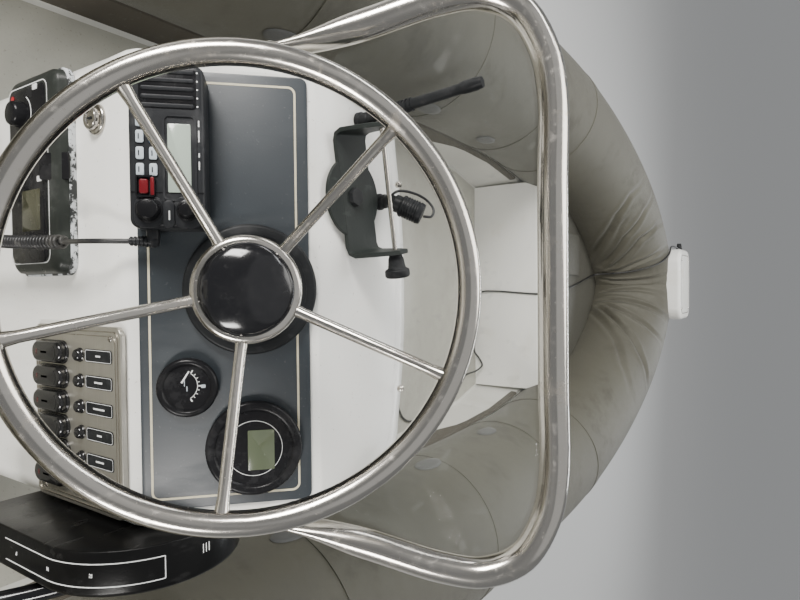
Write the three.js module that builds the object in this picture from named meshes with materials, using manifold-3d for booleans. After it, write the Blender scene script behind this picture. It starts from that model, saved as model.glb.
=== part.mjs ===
// Rigid inflatable boat with a helm console, a helm seat and an outboard motor.
// Millimetres, +Y to the bow, +X to starboard, +Z up, origin on the centreline at the water's surface.
import * as THREE from "three";
import { mergeVertices } from "three/addons/utils/BufferGeometryUtils.js";
import Module from "manifold-3d";

// Driving dimensions
const FIT = 0.3; // gap between pieces that touch
const SOLE_Z = 100; // height of the sole above the water
const WALL = 7; // thickness of the gelcoat mouldings
const TRANSOM_Y = -2050; // aft face of the transom board
const TRANSOM_THICK = 52;

// Inflatable collar
const TUBE_R = 235;
const TUBE_SIDES = 24;
const CONE_LENGTH = 330;
const CONE_TIP_R = 70;
const STRAKE_PROUD = 16;
const STRAKE_HALF_ANGLE = 0.13;

// Dash: its plane is turned up from level about the X axis, local x to starboard, y up the slope, z out
const DASH_TILT = 0.766;
const DASH_Y = -688;
const DASH_Z = 750;

// Steering wheel
const WHEEL_R = 186;
const WHEEL_TUBE_R = 10.5;
const WHEEL_STAND = 158;
const HELM_X = 1;
const HELM_Y = 100;
const SPOKES = 5;
const SPOKE_START = -0.115;
const HUB_R = 47;

// Outboard motor
const TILT_Y = -2128;
const TILT_Z = 318;
const PROP_R = 150;
const PROP_Z = -345;

const wasm = await Module();
wasm.setup();

const boat = new THREE.Group();

const colours = {
  gelcoat: [0xe4e2d8, 0.35, 0],
  fabric: [0x77735f, 0.8, 0],
  strake: [0x1c1d1e, 0.7, 0],
  steel: [0xc9c8c5, 0.18, 1],
  dash: [0x5d6a73, 0.55, 0],
  black: [0x131415, 0.45, 0],
  gloss: [0x0a0a0b, 0.12, 0],
  bracket: [0x3a4144, 0.6, 0],
  plate: [0xa7a59c, 0.4, 0.6],
  glass: [0xdfe8ea, 0.05, 0],
  vinyl: [0xd6d3c8, 0.6, 0],
  cowl: [0x1b1d20, 0.25, 0],
  metal: [0x3c4046, 0.45, 0.6],
};

function material(finish) {
  const [color, roughness, metalness] = colours[finish];
  return new THREE.MeshStandardMaterial({ color, roughness, metalness });
}

// A closed geometry as a solid for joins and cuts
function solid(geometry) {
  const bare = geometry.index ? geometry.toNonIndexed() : geometry.clone();
  bare.deleteAttribute("normal");
  bare.deleteAttribute("uv");
  const merged = mergeVertices(bare, 1e-3);
  const mesh = new wasm.Mesh({
    numProp: 3,
    vertProperties: merged.attributes.position.array,
    triVerts: new Uint32Array(merged.index.array),
  });
  return new wasm.Manifold(mesh);
}

function geometryOf(manifold) {
  const mesh = manifold.getMesh();
  const geometry = new THREE.BufferGeometry();
  const points = new Float32Array((mesh.vertProperties.length / mesh.numProp) * 3);
  for (let i = 0; i < points.length / 3; i++) {
    points.set(mesh.vertProperties.subarray(i * mesh.numProp, i * mesh.numProp + 3), i * 3);
  }
  geometry.setAttribute("position", new THREE.BufferAttribute(points, 3));
  geometry.setIndex(new THREE.BufferAttribute(new Uint32Array(mesh.triVerts), 1));
  geometry.computeVertexNormals();
  return geometry;
}

function join(...geometries) {
  return geometries.map(solid).reduce((a, b) => a.add(b));
}

function put(parent, name, geometry, finish, at = [0, 0, 0], turn = [0, 0, 0]) {
  const mesh = new THREE.Mesh(geometry, material(finish));
  mesh.name = name;
  mesh.position.set(...at);
  mesh.rotation.set(...turn);
  parent.add(mesh);
  return mesh;
}

function box(x0, x1, y0, y1, z0, z1) {
  return new THREE.BoxGeometry(x1 - x0, y1 - y0, z1 - z0).translate(
    (x0 + x1) / 2,
    (y0 + y1) / 2,
    (z0 + z1) / 2,
  );
}

// A cylinder along a unit axis, from one end point to the other
function rod(from, to, radius, sides = 12, endRadius = radius) {
  const a = new THREE.Vector3(...from);
  const b = new THREE.Vector3(...to);
  const axis = b.clone().sub(a);
  const geometry = new THREE.CylinderGeometry(endRadius, radius, axis.length(), sides);
  const turn = new THREE.Quaternion().setFromUnitVectors(
    new THREE.Vector3(0, 1, 0),
    axis.clone().normalize(),
  );
  geometry.applyQuaternion(turn);
  const middle = a.add(b).multiplyScalar(0.5);
  return geometry.translate(middle.x, middle.y, middle.z);
}

// A skin through rings of points, each ring closed, with flat ends
function loft(rings) {
  const count = rings[0].length;
  const points = rings.flat().flatMap((p) => [p.x, p.y, p.z]);
  const faces = [];
  for (let r = 0; r + 1 < rings.length; r++) {
    for (let i = 0; i < count; i++) {
      const a = r * count + i;
      const b = r * count + ((i + 1) % count);
      faces.push(a, b, a + count, b, b + count, a + count);
    }
  }
  const capOf = (ring) => {
    const origin = ring[0];
    const across = ring[1].clone().sub(origin).normalize();
    const centre = ring.reduce((s, p) => s.add(p), new THREE.Vector3()).divideScalar(count);
    let normal = new THREE.Vector3();
    for (let i = 0; i < count; i++) {
      const p = ring[i].clone().sub(centre);
      normal.add(p.cross(ring[(i + 1) % count].clone().sub(centre)));
    }
    normal = normal.normalize();
    const up = normal.clone().cross(across);
    const flat = ring.map((p) => {
      const d = p.clone().sub(origin);
      return new THREE.Vector2(d.dot(across), d.dot(up));
    });
    return THREE.ShapeUtils.triangulateShape(flat, []);
  };
  const last = (rings.length - 1) * count;
  for (const [a, b, c] of capOf(rings[0])) faces.push(a, c, b);
  for (const [a, b, c] of capOf(rings[rings.length - 1])) faces.push(last + a, last + b, last + c);
  const vertex = (i) => new THREE.Vector3(points[3 * i], points[3 * i + 1], points[3 * i + 2]);
  let volume = 0;
  for (let f = 0; f < faces.length; f += 3) {
    volume += vertex(faces[f]).dot(vertex(faces[f + 1]).cross(vertex(faces[f + 2])));
  }
  if (volume < 0) faces.reverse();
  const geometry = new THREE.BufferGeometry();
  geometry.setAttribute("position", new THREE.Float32BufferAttribute(points, 3));
  geometry.setIndex(faces);
  geometry.computeVertexNormals();
  return geometry;
}

function outline(points) {
  const shape = new THREE.Shape();
  points.forEach(([x, y], i) => (i ? shape.lineTo(x, y) : shape.moveTo(x, y)));
  shape.closePath();
  return shape;
}

function roundedRect(width, height, radius) {
  const shape = new THREE.Shape();
  const x = width / 2;
  const y = height / 2;
  const quarter = Math.PI / 2;
  shape.moveTo(-x + radius, -y);
  shape.absarc(x - radius, -y + radius, radius, -quarter, 0, false);
  shape.absarc(x - radius, y - radius, radius, 0, quarter, false);
  shape.absarc(-x + radius, y - radius, radius, quarter, 2 * quarter, false);
  shape.absarc(-x + radius, -y + radius, radius, 2 * quarter, 3 * quarter, false);
  return shape;
}

function plate(shape, depth, curveSegments = 3) {
  return new THREE.ExtrudeGeometry(shape, { depth, bevelEnabled: false, curveSegments });
}

// Turns a profile drawn in (y, z) so that its thickness runs to starboard
const acrossBoat = new THREE.Matrix4().makeBasis(
  new THREE.Vector3(0, 1, 0),
  new THREE.Vector3(0, 0, 1),
  new THREE.Vector3(1, 0, 0),
);

// A plate whose front edge is rounded off
function softPlate(width, height, depth, radius, soft, curveSegments = 3) {
  return new THREE.ExtrudeGeometry(roundedRect(width - 2 * soft, height - 2 * soft, radius - soft), {
    depth: depth - 2 * soft,
    bevelThickness: soft,
    bevelSize: soft,
    bevelSegments: 2,
    curveSegments,
  }).translate(0, 0, soft);
}

// Collar centreline on the starboard side. Columns: y, x, z above the water, tube radius.
const COLLAR = [
  { y: -2100, x: 745, z: 340, r: TUBE_R },
  { y: -750, x: 745, z: 340, r: TUBE_R },
  { y: 150, x: 745, z: 348, r: TUBE_R },
  { y: 850, x: 726, z: 382, r: 234 },
  { y: 1250, x: 662, z: 428, r: 231 },
  { y: 1600, x: 532, z: 474, r: 227 },
  { y: 1900, x: 352, z: 511, r: 223 },
  { y: 2070, x: 172, z: 532, r: 221 },
  { y: 2160, x: 0, z: 542, r: 220 },
];
const COLLAR_STEPS = 28;

const collarPath = new THREE.CatmullRomCurve3(
  COLLAR.map((s) => new THREE.Vector3(s.x, s.y, s.z)),
  false,
  "centripetal",
);
const radiusPath = new THREE.CatmullRomCurve3(
  COLLAR.map((s) => new THREE.Vector3(s.r, s.y, 0)),
  false,
  "centripetal",
);

// Centre, outward direction and radius at a share of the centreline
function collarAt(share) {
  const centre = collarPath.getPoint(share);
  const along = collarPath.getTangent(share);
  const out = new THREE.Vector3(along.y, -along.x, 0).normalize();
  return { centre, out, radius: radiusPath.getPoint(share).x };
}

const collarShares = [];
for (let i = 0; i <= COLLAR_STEPS; i++) {
  const share = i / COLLAR_STEPS;
  if (share > 0.24 || i % 3 === 0) collarShares.push(share);
}
const bowShare = 4 / (COLLAR.length - 1);

function tubeRings(shares, grow = 0) {
  return shares.map((share) => {
    const { centre, out, radius } = collarAt(share);
    const ring = [];
    for (let i = 0; i < TUBE_SIDES; i++) {
      const angle = (-2 * Math.PI * i) / TUBE_SIDES;
      const point = centre.clone().addScaledVector(out, Math.cos(angle) * (radius + grow));
      point.z += Math.sin(angle) * (radius + grow);
      ring.push(point);
    }
    return ring;
  });
}

function mirrored(geometry) {
  return geometryOf(solid(geometry).mirror([1, 0, 0]));
}

function sideTube(grow = 0) {
  const shares = collarShares.filter((s) => s < bowShare - 0.004).concat([bowShare]);
  return loft(tubeRings(shares, grow));
}

// Both sides of the bow run on past the centreline, are trimmed there and joined
function bowChamber(grow = 0, start = bowShare) {
  const shares = [start].concat(collarShares.filter((s) => s > start + 0.004));
  const rings = tubeRings(shares, grow);
  const end = rings[rings.length - 1];
  const { out } = collarAt(1);
  const on = new THREE.Vector3(-out.y, out.x, 0).multiplyScalar(260);
  rings.push(end.map((p) => p.clone().add(on)));
  const half = solid(loft(rings)).trimByPlane([1, 0, 0], 0);
  return half.add(half.mirror([1, 0, 0]));
}

const wholeCollar = (grow) =>
  solid(loft(tubeRings(collarShares.filter((s) => s < bowShare + 0.05), grow)))
    .add(solid(mirrored(loft(tubeRings(collarShares.filter((s) => s < bowShare + 0.05), grow)))))
    .add(bowChamber(grow, bowShare));

// Hull stations. Columns: y, keel z, chine half width, chine z, sole z.
const STATIONS = [
  { y: TRANSOM_Y + TRANSOM_THICK, keel: -250, chine: 610, chineZ: -8, sole: SOLE_Z },
  { y: -700, keel: -250, chine: 610, chineZ: -8, sole: SOLE_Z },
  { y: 200, keel: -246, chine: 600, chineZ: 6, sole: SOLE_Z },
  { y: 800, keel: -222, chine: 540, chineZ: 44, sole: SOLE_Z },
  { y: 1150, keel: -178, chine: 490, chineZ: 78, sole: SOLE_Z },
  { y: 1345, keel: -142, chine: 436, chineZ: 88, sole: SOLE_Z },
  { y: 1550, keel: -92, chine: 344, chineZ: 150, sole: 176 },
  { y: 1800, keel: 10, chine: 170, chineZ: 216, sole: 236 },
  { y: 1980, keel: 140, chine: 70, chineZ: 268, sole: 288 },
  { y: 2060, keel: 230, chine: 24, chineZ: 300, sole: 320 },
];
const FLANGE_ANGLE = 0.7; // where the moulding's upstand meets the collar, below its middle

function collarNear(y) {
  let best = collarAt(0);
  for (let i = 0; i <= 400; i++) {
    const here = collarAt(i / 400);
    if (Math.abs(here.centre.y - y) < Math.abs(best.centre.y - y)) best = here;
  }
  return best;
}

function hullRing(station, grow = 0) {
  const { centre, out, radius } = collarNear(station.y);
  const reach = radius / Math.max(out.x, 0.45);
  const seatZ = centre.z - radius * Math.sin(FLANGE_ANGLE);
  const inner = Math.max(centre.x - reach * Math.cos(FLANGE_ANGLE) - 8, 14) - grow;
  const soleZ = Math.min(station.sole, seatZ - 20);
  const half = [
    [0, station.keel],
    [station.chine * 0.5, (station.keel + station.chineZ) / 2 - 4],
    [station.chine, station.chineZ],
    [Math.max(centre.x, station.chine + 4), centre.z - radius + 6],
    [Math.max(centre.x, station.chine + 6), seatZ + grow],
    [inner, seatZ + grow],
    [inner - 10, soleZ + grow],
    [0, soleZ + grow],
  ];
  const ring = half.map(([x, z]) => new THREE.Vector3(x, station.y, z));
  const port = half.slice(1, -1).map(([x, z]) => new THREE.Vector3(-x, station.y, z));
  return ring.concat(port.reverse());
}

const collarSolid = wholeCollar(FIT);

const hullBody = solid(loft(STATIONS.map((s) => hullRing(s)))).subtract(collarSolid);

// The bow's tray is its own moulding on the hull: the locker's floor and the seats of the collar
const TRAY_Y = 1345;
const TRAY_LOW = 60;
const bowRoom = (gap) => solid(box(-900, 900, TRAY_Y - gap, 2400, TRAY_LOW - gap, 900));
put(boat, "hull", geometryOf(hullBody.subtract(bowRoom(FIT))), "gelcoat");
put(boat, "bow_tray", geometryOf(hullBody.intersect(bowRoom(0))), "gelcoat");

// Transom board between the tubes, cut down in the middle for the motor
const TRANSOM_TOP = 280;
const TRANSOM_SIDE_TOP = 400;
const TRANSOM_CUT = 250;

function transom() {
  const half = [
    [0, TRANSOM_TOP],
    [TRANSOM_CUT, TRANSOM_TOP],
    [TRANSOM_CUT + 50, TRANSOM_SIDE_TOP],
    [520, TRANSOM_SIDE_TOP],
    [600, 150],
    [605, 0],
    [0, -248],
  ];
  const port = half.slice(1, -1).map(([x, z]) => [-x, z]).reverse();
  const board = plate(outline([...half, ...port]), TRANSOM_THICK - FIT);
  board.rotateX(Math.PI / 2).translate(0, TRANSOM_Y + TRANSOM_THICK - FIT, 0);
  return solid(board).subtract(collarSolid);
}
put(boat, "transom", geometryOf(transom()), "gelcoat");

// Collar: two side tubes with stern cones, and the bow chamber
const starboardTube = sideTube();
put(boat, "tube_starboard", starboardTube, "fabric");
put(boat, "tube_port", mirrored(starboardTube), "fabric");
const bowStart = bowShare + 0.00012;
put(boat, "tube_bow", geometryOf(bowChamber(0, bowStart)), "fabric");

function sternCone() {
  const steps = [0, 0.3, 0.62, 0.86, 1];
  const { centre, radius } = collarAt(0);
  const profile = steps.map((t) => {
    const width = CONE_TIP_R + (radius - CONE_TIP_R) * Math.sqrt(1 - t * t * 0.92);
    return new THREE.Vector2(width, FIT + t * CONE_LENGTH);
  });
  profile.unshift(new THREE.Vector2(0, FIT));
  profile.push(new THREE.Vector2(0, FIT + CONE_LENGTH));
  const cone = new THREE.LatheGeometry(profile, TUBE_SIDES);
  cone.rotateX(Math.PI);
  return cone.translate(centre.x, COLLAR[0].y, centre.z);
}
put(boat, "stern_cone_starboard", sternCone(), "fabric");
put(boat, "stern_cone_port", mirrored(sternCone()), "fabric");

// Rub strake: a band standing on the outside of the collar, all round from stern to stern
const STRAKE_RISE = 0.12;
const STRAKE_BACK = 5; // how far the band is drawn into the tube before it is cut to the tube's surface
const STRAKE_FACE = 0.7; // width of the band's face against its back

function strakeSection(share, side) {
  const { centre, out, radius } = collarAt(share);
  const back = radius - STRAKE_BACK;
  const face = radius + STRAKE_PROUD;
  const half = STRAKE_HALF_ANGLE;
  const band = [
    [back, STRAKE_RISE + half],
    [face, STRAKE_RISE + half * STRAKE_FACE],
    [face, STRAKE_RISE - half * STRAKE_FACE],
    [back, STRAKE_RISE - half],
  ];
  return band.map(([r, a]) => {
    const p = centre.clone().addScaledVector(out, Math.cos(a) * r);
    return new THREE.Vector3(p.x * side, p.y, p.z + Math.sin(a) * r);
  });
}

// The section on the centreline, where the two sides of the band meet
function noseSection() {
  const { centre, out } = collarAt(1);
  return strakeSection(1, 1).map(
    (p) => new THREE.Vector3(0, centre.y + (p.y - centre.y) / out.y ** 2, p.z),
  );
}

const sideStrakeShares = collarShares.filter((s) => s < bowShare - 0.004).concat([bowShare]);
const sideStrake = (side) => solid(loft(sideStrakeShares.map((s) => strakeSection(s, side))));
const bowStrakeShares = [bowStart].concat(collarShares.filter((s) => s > bowShare + 0.004 && s < 1));
const bowStrake = solid(
  loft([
    ...bowStrakeShares.map((s) => strakeSection(s, 1)),
    noseSection(),
    ...[...bowStrakeShares].reverse().map((s) => strakeSection(s, -1)),
  ]),
);
const strakes = {
  rub_strake_starboard: sideStrake(1),
  rub_strake_port: sideStrake(-1),
  rub_strake_bow: bowStrake,
};
for (const [name, band] of Object.entries(strakes)) {
  put(boat, name, geometryOf(band.subtract(collarSolid)), "strake");
}

// Bow locker moulding with a hinged lid, in the angle of the collar
const LOCKER_Y = 1320;
const LOCKER_TOP = 448;
const LOCKER_END = 1960;
const LID = { x: -135, y0: 1395, y1: 1640, half: 90, thick: 12 };
const MOUTH_LEDGE = 12; // width of the ledge that the lid rests on

function bowLocker() {
  const plan = (inset, y0, y1) =>
    outline([
      [-430 + inset, y0],
      [430 - inset, y0],
      [88 - inset * 0.6, y1],
      [-88 + inset * 0.6, y1],
    ]);
  const outer = plate(plan(0, LOCKER_Y, LOCKER_END), LOCKER_TOP - SOLE_Z - FIT);
  outer.translate(0, 0, SOLE_Z + FIT);
  const inner = plate(plan(16, LOCKER_Y + WALL, LOCKER_END - 60), LOCKER_TOP - SOLE_Z - WALL);
  inner.translate(0, 0, SOLE_Z - 10);
  const mouth = box(
    LID.x - LID.half + MOUTH_LEDGE,
    LID.x + LID.half - MOUTH_LEDGE,
    LID.y0 + MOUTH_LEDGE,
    LID.y1 - MOUTH_LEDGE,
    LOCKER_TOP - 100,
    LOCKER_TOP + 20,
  );
  const pieces = solid(outer)
    .subtract(solid(inner))
    .subtract(solid(mouth))
    .subtract(hullGrown)
    .subtract(belowSole)
    .subtract(collarSolid)
    .decompose();
  return pieces.sort((a, b) => b.volume() - a.volume())[0]; // the rest lies outside the hull
}

// The hull a little larger, to leave room round it
const hullGrown = solid(
  loft(STATIONS.map((s) => hullRing(s, 2 * FIT))),
);
const belowSole = solid(
  loft(
    STATIONS.map(({ y, sole }) => [
      new THREE.Vector3(-900, y, -400),
      new THREE.Vector3(900, y, -400),
      new THREE.Vector3(900, y, sole + FIT),
      new THREE.Vector3(-900, y, sole + FIT),
    ]),
  ),
);
put(boat, "bow_locker", geometryOf(bowLocker()), "gelcoat");
const lidShape = roundedRect(2 * LID.half, LID.y1 - LID.y0, 26);
put(
  boat,
  "locker_lid",
  plate(lidShape, LID.thick),
  "gelcoat",
  [LID.x, (LID.y0 + LID.y1) / 2, LOCKER_TOP + FIT],
);

// Moulded step on top of the bow, with the navigation light beside it
const STEP = { x: 172, y0: 2075, y1: 2360, top: 806 };
function bowStep() {
  const plan = roundedRect(2 * STEP.x, STEP.y1 - STEP.y0, 70);
  const block = new THREE.ExtrudeGeometry(plan, {
    depth: 120,
    bevelThickness: 14,
    bevelSize: 14,
    bevelOffset: -14,
    bevelSegments: 2,
    curveSegments: 4,
  });
  block.translate(0, (STEP.y0 + STEP.y1) / 2, STEP.top - 134);
  return solid(block).subtract(collarSolid);
}
put(boat, "bow_step", geometryOf(bowStep()), "gelcoat");

// Console
const dashSlope = [Math.cos(DASH_TILT), Math.sin(DASH_TILT)];
const onDash = (s, out = 0) => [
  DASH_Y + s * dashSlope[0] - out * dashSlope[1],
  DASH_Z + s * dashSlope[1] + out * dashSlope[0],
];
const CONSOLE_HALF = 246;
const CONSOLE_BASE = SOLE_Z + FIT;
const CONSOLE_TOP = 868;
const DASH_LOW = -19; // where the dash turns down into the upright aft face
const AFT_FACE = -706;
const [dashLowY, dashLowZ] = onDash(DASH_LOW);
const dashAt = (z) => DASH_Y + ((z - DASH_Z) * dashSlope[0]) / dashSlope[1];

// Level sections of the console: z, aft y, front y, inset of the sides, aft and front corner radius
const CONSOLE_LEVELS = [
  { z: CONSOLE_BASE, aft: AFT_FACE, front: -300, inset: 0, aftR: 24, frontR: 70 },
  { z: 700, aft: AFT_FACE, front: -352, inset: 0, aftR: 24, frontR: 70 },
  { z: dashLowZ - 8, aft: AFT_FACE, front: -355, inset: 0, aftR: 22, frontR: 70 },
  { z: dashLowZ, aft: dashLowY, front: -356, inset: 0, aftR: 20, frontR: 70 },
  { z: 815, aft: dashAt(815), front: -362, inset: 0, aftR: 16, frontR: 70 },
  { z: 852, aft: dashAt(852), front: -378, inset: 4, aftR: 14, frontR: 64 },
  { z: 863, aft: dashAt(863), front: -392, inset: 9, aftR: 12, frontR: 60 },
  { z: CONSOLE_TOP, aft: dashAt(CONSOLE_TOP), front: -410, inset: 18, aftR: 8, frontR: 54 },
];
const FRONT_BOW = 33; // how far the front edge falls back at the sides
const GLAND = { x: 150, y0: -322, y1: -306, z: 150, r: 9 }; // where the bow light's wire comes out
const CORNER_STEPS = 4;

function consoleRing(level, wall = 0) {
  const half = CONSOLE_HALF - level.inset - wall;
  const aft = level.aft + wall * 1.4;
  const front = level.front - wall;
  const aftR = Math.max(level.aftR - wall, 2);
  const frontR = Math.max(level.frontR - wall, 2);
  const bow = (x) => front - FRONT_BOW * (x / half) ** 2;
  const ring = [];
  for (let i = 0; i <= CORNER_STEPS; i++) {
    const a = (i / CORNER_STEPS) * (Math.PI / 2);
    ring.push([half - aftR + aftR * Math.sin(a), aft + aftR - aftR * Math.cos(a)]);
  }
  const frontCorner = bow(half - frontR) - frontR;
  for (let i = 0; i <= CORNER_STEPS; i++) {
    const a = (i / CORNER_STEPS) * (Math.PI / 2);
    ring.push([half - frontR + frontR * Math.cos(a), frontCorner + frontR * Math.sin(a)]);
  }
  ring.push([half * 0.4, bow(half * 0.4)]);
  const port = ring.map(([x, y]) => [-x, y]).reverse();
  return [...ring, ...port].map(([x, y]) => new THREE.Vector3(x, y, level.z));
}

function consoleBody() {
  const outer = loft(CONSOLE_LEVELS.map((level) => consoleRing(level)));
  const within = CONSOLE_LEVELS.map((level) => consoleRing({ ...level, z: level.z - WALL }, WALL));
  const inner = loft(within);
  const gland = rod([GLAND.x, GLAND.y0, GLAND.z], [GLAND.x, GLAND.y1, GLAND.z], GLAND.r, 12);
  return solid(outer).subtract(solid(inner)).add(solid(gland));
}
put(boat, "console", geometryOf(consoleBody()), "gelcoat");

const dash = new THREE.Group();
dash.position.set(0, DASH_Y, DASH_Z);
dash.rotation.x = DASH_TILT;
boat.add(dash);

const PANEL = { x: 2, y: 72, width: 446, height: 176, top: 3.3 };
put(dash, "dash_panel", plate(roundedRect(PANEL.width, PANEL.height, 8), 3), "dash", [
  PANEL.x,
  PANEL.y,
  FIT,
]);
const onPanel = PANEL.top + FIT;

// A round instrument with a raised lip and a face set back inside it
const DIAL_RECESS = 3;
const BEZEL_HEIGHT = 13;
function dial(radius, height, lip, sides = 36) {
  const face = height - DIAL_RECESS;
  const profile = [
    [0, 0],
    [radius, 0],
    [radius, face],
    [radius - DIAL_RECESS, height],
    [radius - lip, height],
    [radius - lip - 2, face],
    [0, face],
  ];
  const turned = new THREE.LatheGeometry(profile.map(([r, z]) => new THREE.Vector2(r, z)), sides);
  return turned.rotateX(Math.PI / 2);
}
put(dash, "helm_bezel", dial(67, BEZEL_HEIGHT, 22), "black", [HELM_X, HELM_Y, onPanel]);
const FUEL = { x: 100, y: 36, radius: 30, height: 10, lip: 6, sides: 28 };
const SPEED = { x: 166, y: 101, radius: 49, height: 9, lip: 9 };
for (const [name, d] of Object.entries({ fuel_gauge: FUEL, speed_gauge: SPEED })) {
  put(dash, name, dial(d.radius, d.height, d.lip, d.sides), "black", [d.x, d.y, onPanel]);
}
const RADIO = { x: -136, y: 25.5, width: 156, height: 69, depth: 38 };
const RADIO_PLUG = { x: 89, y: -17.5, z: 16.4, r: 6.5, end: -39.5 };

// The radio's body, with the elbow of its microphone plug at the starboard end
function radio() {
  const { x, y, z, r, end } = RADIO_PLUG;
  const body = softPlate(RADIO.width, RADIO.height, RADIO.depth, 6, 4);
  const stub = rod([RADIO.width / 2 - 2, y, z], [x + r, y, z], r, 12);
  const relief = rod([x, y, z], [x, end, z], r - 0.5, 12, 4.5);
  return join(body, stub, relief);
}
put(dash, "vhf_radio", geometryOf(radio()), "black", [RADIO.x, RADIO.y, onPanel]);

// Pieces on the upright aft face: local x to starboard, y up, z out towards the helm seat
const aftWall = new THREE.Group();
aftWall.position.set(0, AFT_FACE, 0);
aftWall.rotation.x = Math.PI / 2;
boat.add(aftWall);
const STEREO = { x: -128, z: 593, width: 224, height: 114, depth: 20, corner: 16, soft: 5 };
const KEY = { x: -176, z: 692, radius: 16, height: 9, lip: 5, sides: 20 };
const stereoCase = softPlate(STEREO.width, STEREO.height, STEREO.depth, STEREO.corner, STEREO.soft);
put(aftWall, "stereo_unit", stereoCase, "black", [STEREO.x, STEREO.z, FIT]);
const keyDisc = dial(KEY.radius, KEY.height, KEY.lip, KEY.sides);
put(aftWall, "key_switch", keyDisc, "steel", [KEY.x, KEY.z, FIT]);

const ROCKERS = 6;
const ROCKER_PITCH = 28;
const ROCKER = { x: -68, z: -30, width: 23, height: 44, corner: 10.5, depth: 19 };
const PLATE = { x: 136, z: 648, width: 196, height: 174, thick: 5 };
function switchPanel() {
  let panel = solid(softPlate(PLATE.width, PLATE.height, PLATE.thick, 10, 1.2));
  for (let i = 0; i < ROCKERS; i++) {
    const boot = plate(roundedRect(ROCKER.width, ROCKER.height, ROCKER.corner), ROCKER.depth);
    boot.translate(ROCKER.x + i * ROCKER_PITCH, ROCKER.z, PLATE.thick - 1);
    panel = panel.add(solid(boot));
  }
  return panel;
}
put(aftWall, "switch_panel", geometryOf(switchPanel()), "plate", [PLATE.x, PLATE.z, FIT]);

// Steering wheel, turning about the normal to the dash
const helm = new THREE.Group();
helm.position.set(HELM_X, HELM_Y, 0);
dash.add(helm);

function steeringWheel() {
  let wheel = solid(new THREE.TorusGeometry(WHEEL_R, WHEEL_TUBE_R, 8, 45).translate(0, 0, WHEEL_STAND));
  const hub = rod([0, 0, 104], [0, 0, 122], HUB_R, 28, HUB_R - 2);
  const shaft = rod([0, 0, onPanel + BEZEL_HEIGHT - DIAL_RECESS + FIT], [0, 0, 110], 15, 16);
  wheel = wheel.add(solid(hub)).add(solid(shaft));
  for (let i = 0; i < SPOKES; i++) {
    const angle = SPOKE_START + (i * 2 * Math.PI) / SPOKES;
    const c = Math.cos(angle);
    const s = Math.sin(angle);
    const rimEnd = WHEEL_R - 3;
    wheel = wheel.add(solid(rod([38 * c, 38 * s, 114], [rimEnd * c, rimEnd * s, WHEEL_STAND - 2], 5, 6)));
  }
  return wheel;
}
put(helm, "steering_wheel", geometryOf(steeringWheel()), "steel");
const capProfile = [
  [0, 0],
  [40, 0],
  [40, 7],
  [34, 12],
  [20, 16.5],
  [0, 18],
].map(([r, z]) => new THREE.Vector2(r, z));
const cap = new THREE.LatheGeometry(capProfile, 28).rotateX(Math.PI / 2);
put(helm, "wheel_hub_cap", cap, "gloss", [0, 0, 122 + FIT]);

// Rail round the windscreen, its ends flattened and bolted to the console's sides
const RAIL_R = 16;
const RAIL_STEPS = 44;
const RAIL_SIDES = 12;
const RAIL_FOOT = { x: CONSOLE_HALF + FIT + 4.6, y: -598, z: 814 };
const RAIL_TOP = { y: -430, z: 1078 };
const RAIL = [
  { x: RAIL_FOOT.x, up: 0 },
  { x: 255, up: 0.1 },
  { x: 278, up: 0.36 },
  { x: 303, up: 0.62 },
  { x: 308, up: 0.76 },
  { x: 292, up: 0.89 },
  { x: 252, up: 0.97 },
  { x: 205, up: 1 },
  { x: 100, up: 1 },
];
const railPoint = (p, side) =>
  new THREE.Vector3(
    p.x * side,
    RAIL_FOOT.y + p.up * (RAIL_TOP.y - RAIL_FOOT.y),
    RAIL_FOOT.z + p.up * (RAIL_TOP.z - RAIL_FOOT.z),
  );
const railCurve = new THREE.CatmullRomCurve3(
  [...RAIL.map((p) => railPoint(p, 1)), ...[...RAIL].reverse().map((p) => railPoint(p, -1))],
  false,
  "centripetal",
);
const railLean = new THREE.Vector3(0, RAIL_TOP.y - RAIL_FOOT.y, RAIL_TOP.z - RAIL_FOOT.z).normalize();
const railFace = new THREE.Vector3(0, -railLean.z, railLean.y);

function railTube() {
  const rings = [];
  for (let i = 0; i <= RAIL_STEPS; i++) {
    const t = i / RAIL_STEPS;
    const centre = railCurve.getPointAt(t);
    const along = railCurve.getTangentAt(t);
    const side = along.clone().cross(railFace).normalize();
    const near = Math.min(t, 1 - t) / 0.1;
    const flat = near < 1 ? 0.28 + 0.72 * near * near * (3 - 2 * near) : 1;
    const wide = near < 1 ? 1.25 - 0.25 * near : 1;
    const ring = [];
    for (let k = 0; k < RAIL_SIDES; k++) {
      const a = (2 * Math.PI * k) / RAIL_SIDES;
      ring.push(
        centre
          .clone()
          .addScaledVector(side, Math.cos(a) * RAIL_R * flat)
          .addScaledVector(railFace, Math.sin(a) * RAIL_R * wide),
      );
    }
    rings.push(ring);
  }
  return loft(rings);
}
put(boat, "console_rail", railTube(), "steel");

// Windscreen: a clear sheet bent round from the console's top edge up to the inside of the rail.
// Columns: share of the rail's length, and where the sheet stands on the console, x and y.
const SCREEN_THICK = 4;
const SCREEN = [
  { share: 0.1, x: 222, y: -562 },
  { share: 0.16, x: 222, y: -528 },
  { share: 0.22, x: 220, y: -492 },
  { share: 0.28, x: 210, y: -458 },
  { share: 0.33, x: 188, y: -438 },
  { share: 0.38, x: 150, y: -428 },
  { share: 0.44, x: 80, y: -422 },
  { share: 0.5, x: 0, y: -420 },
];
const screenStations = [
  ...SCREEN,
  ...SCREEN.slice(0, -1).reverse().map((s) => ({ share: 1 - s.share, x: -s.x, y: s.y })),
];

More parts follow.
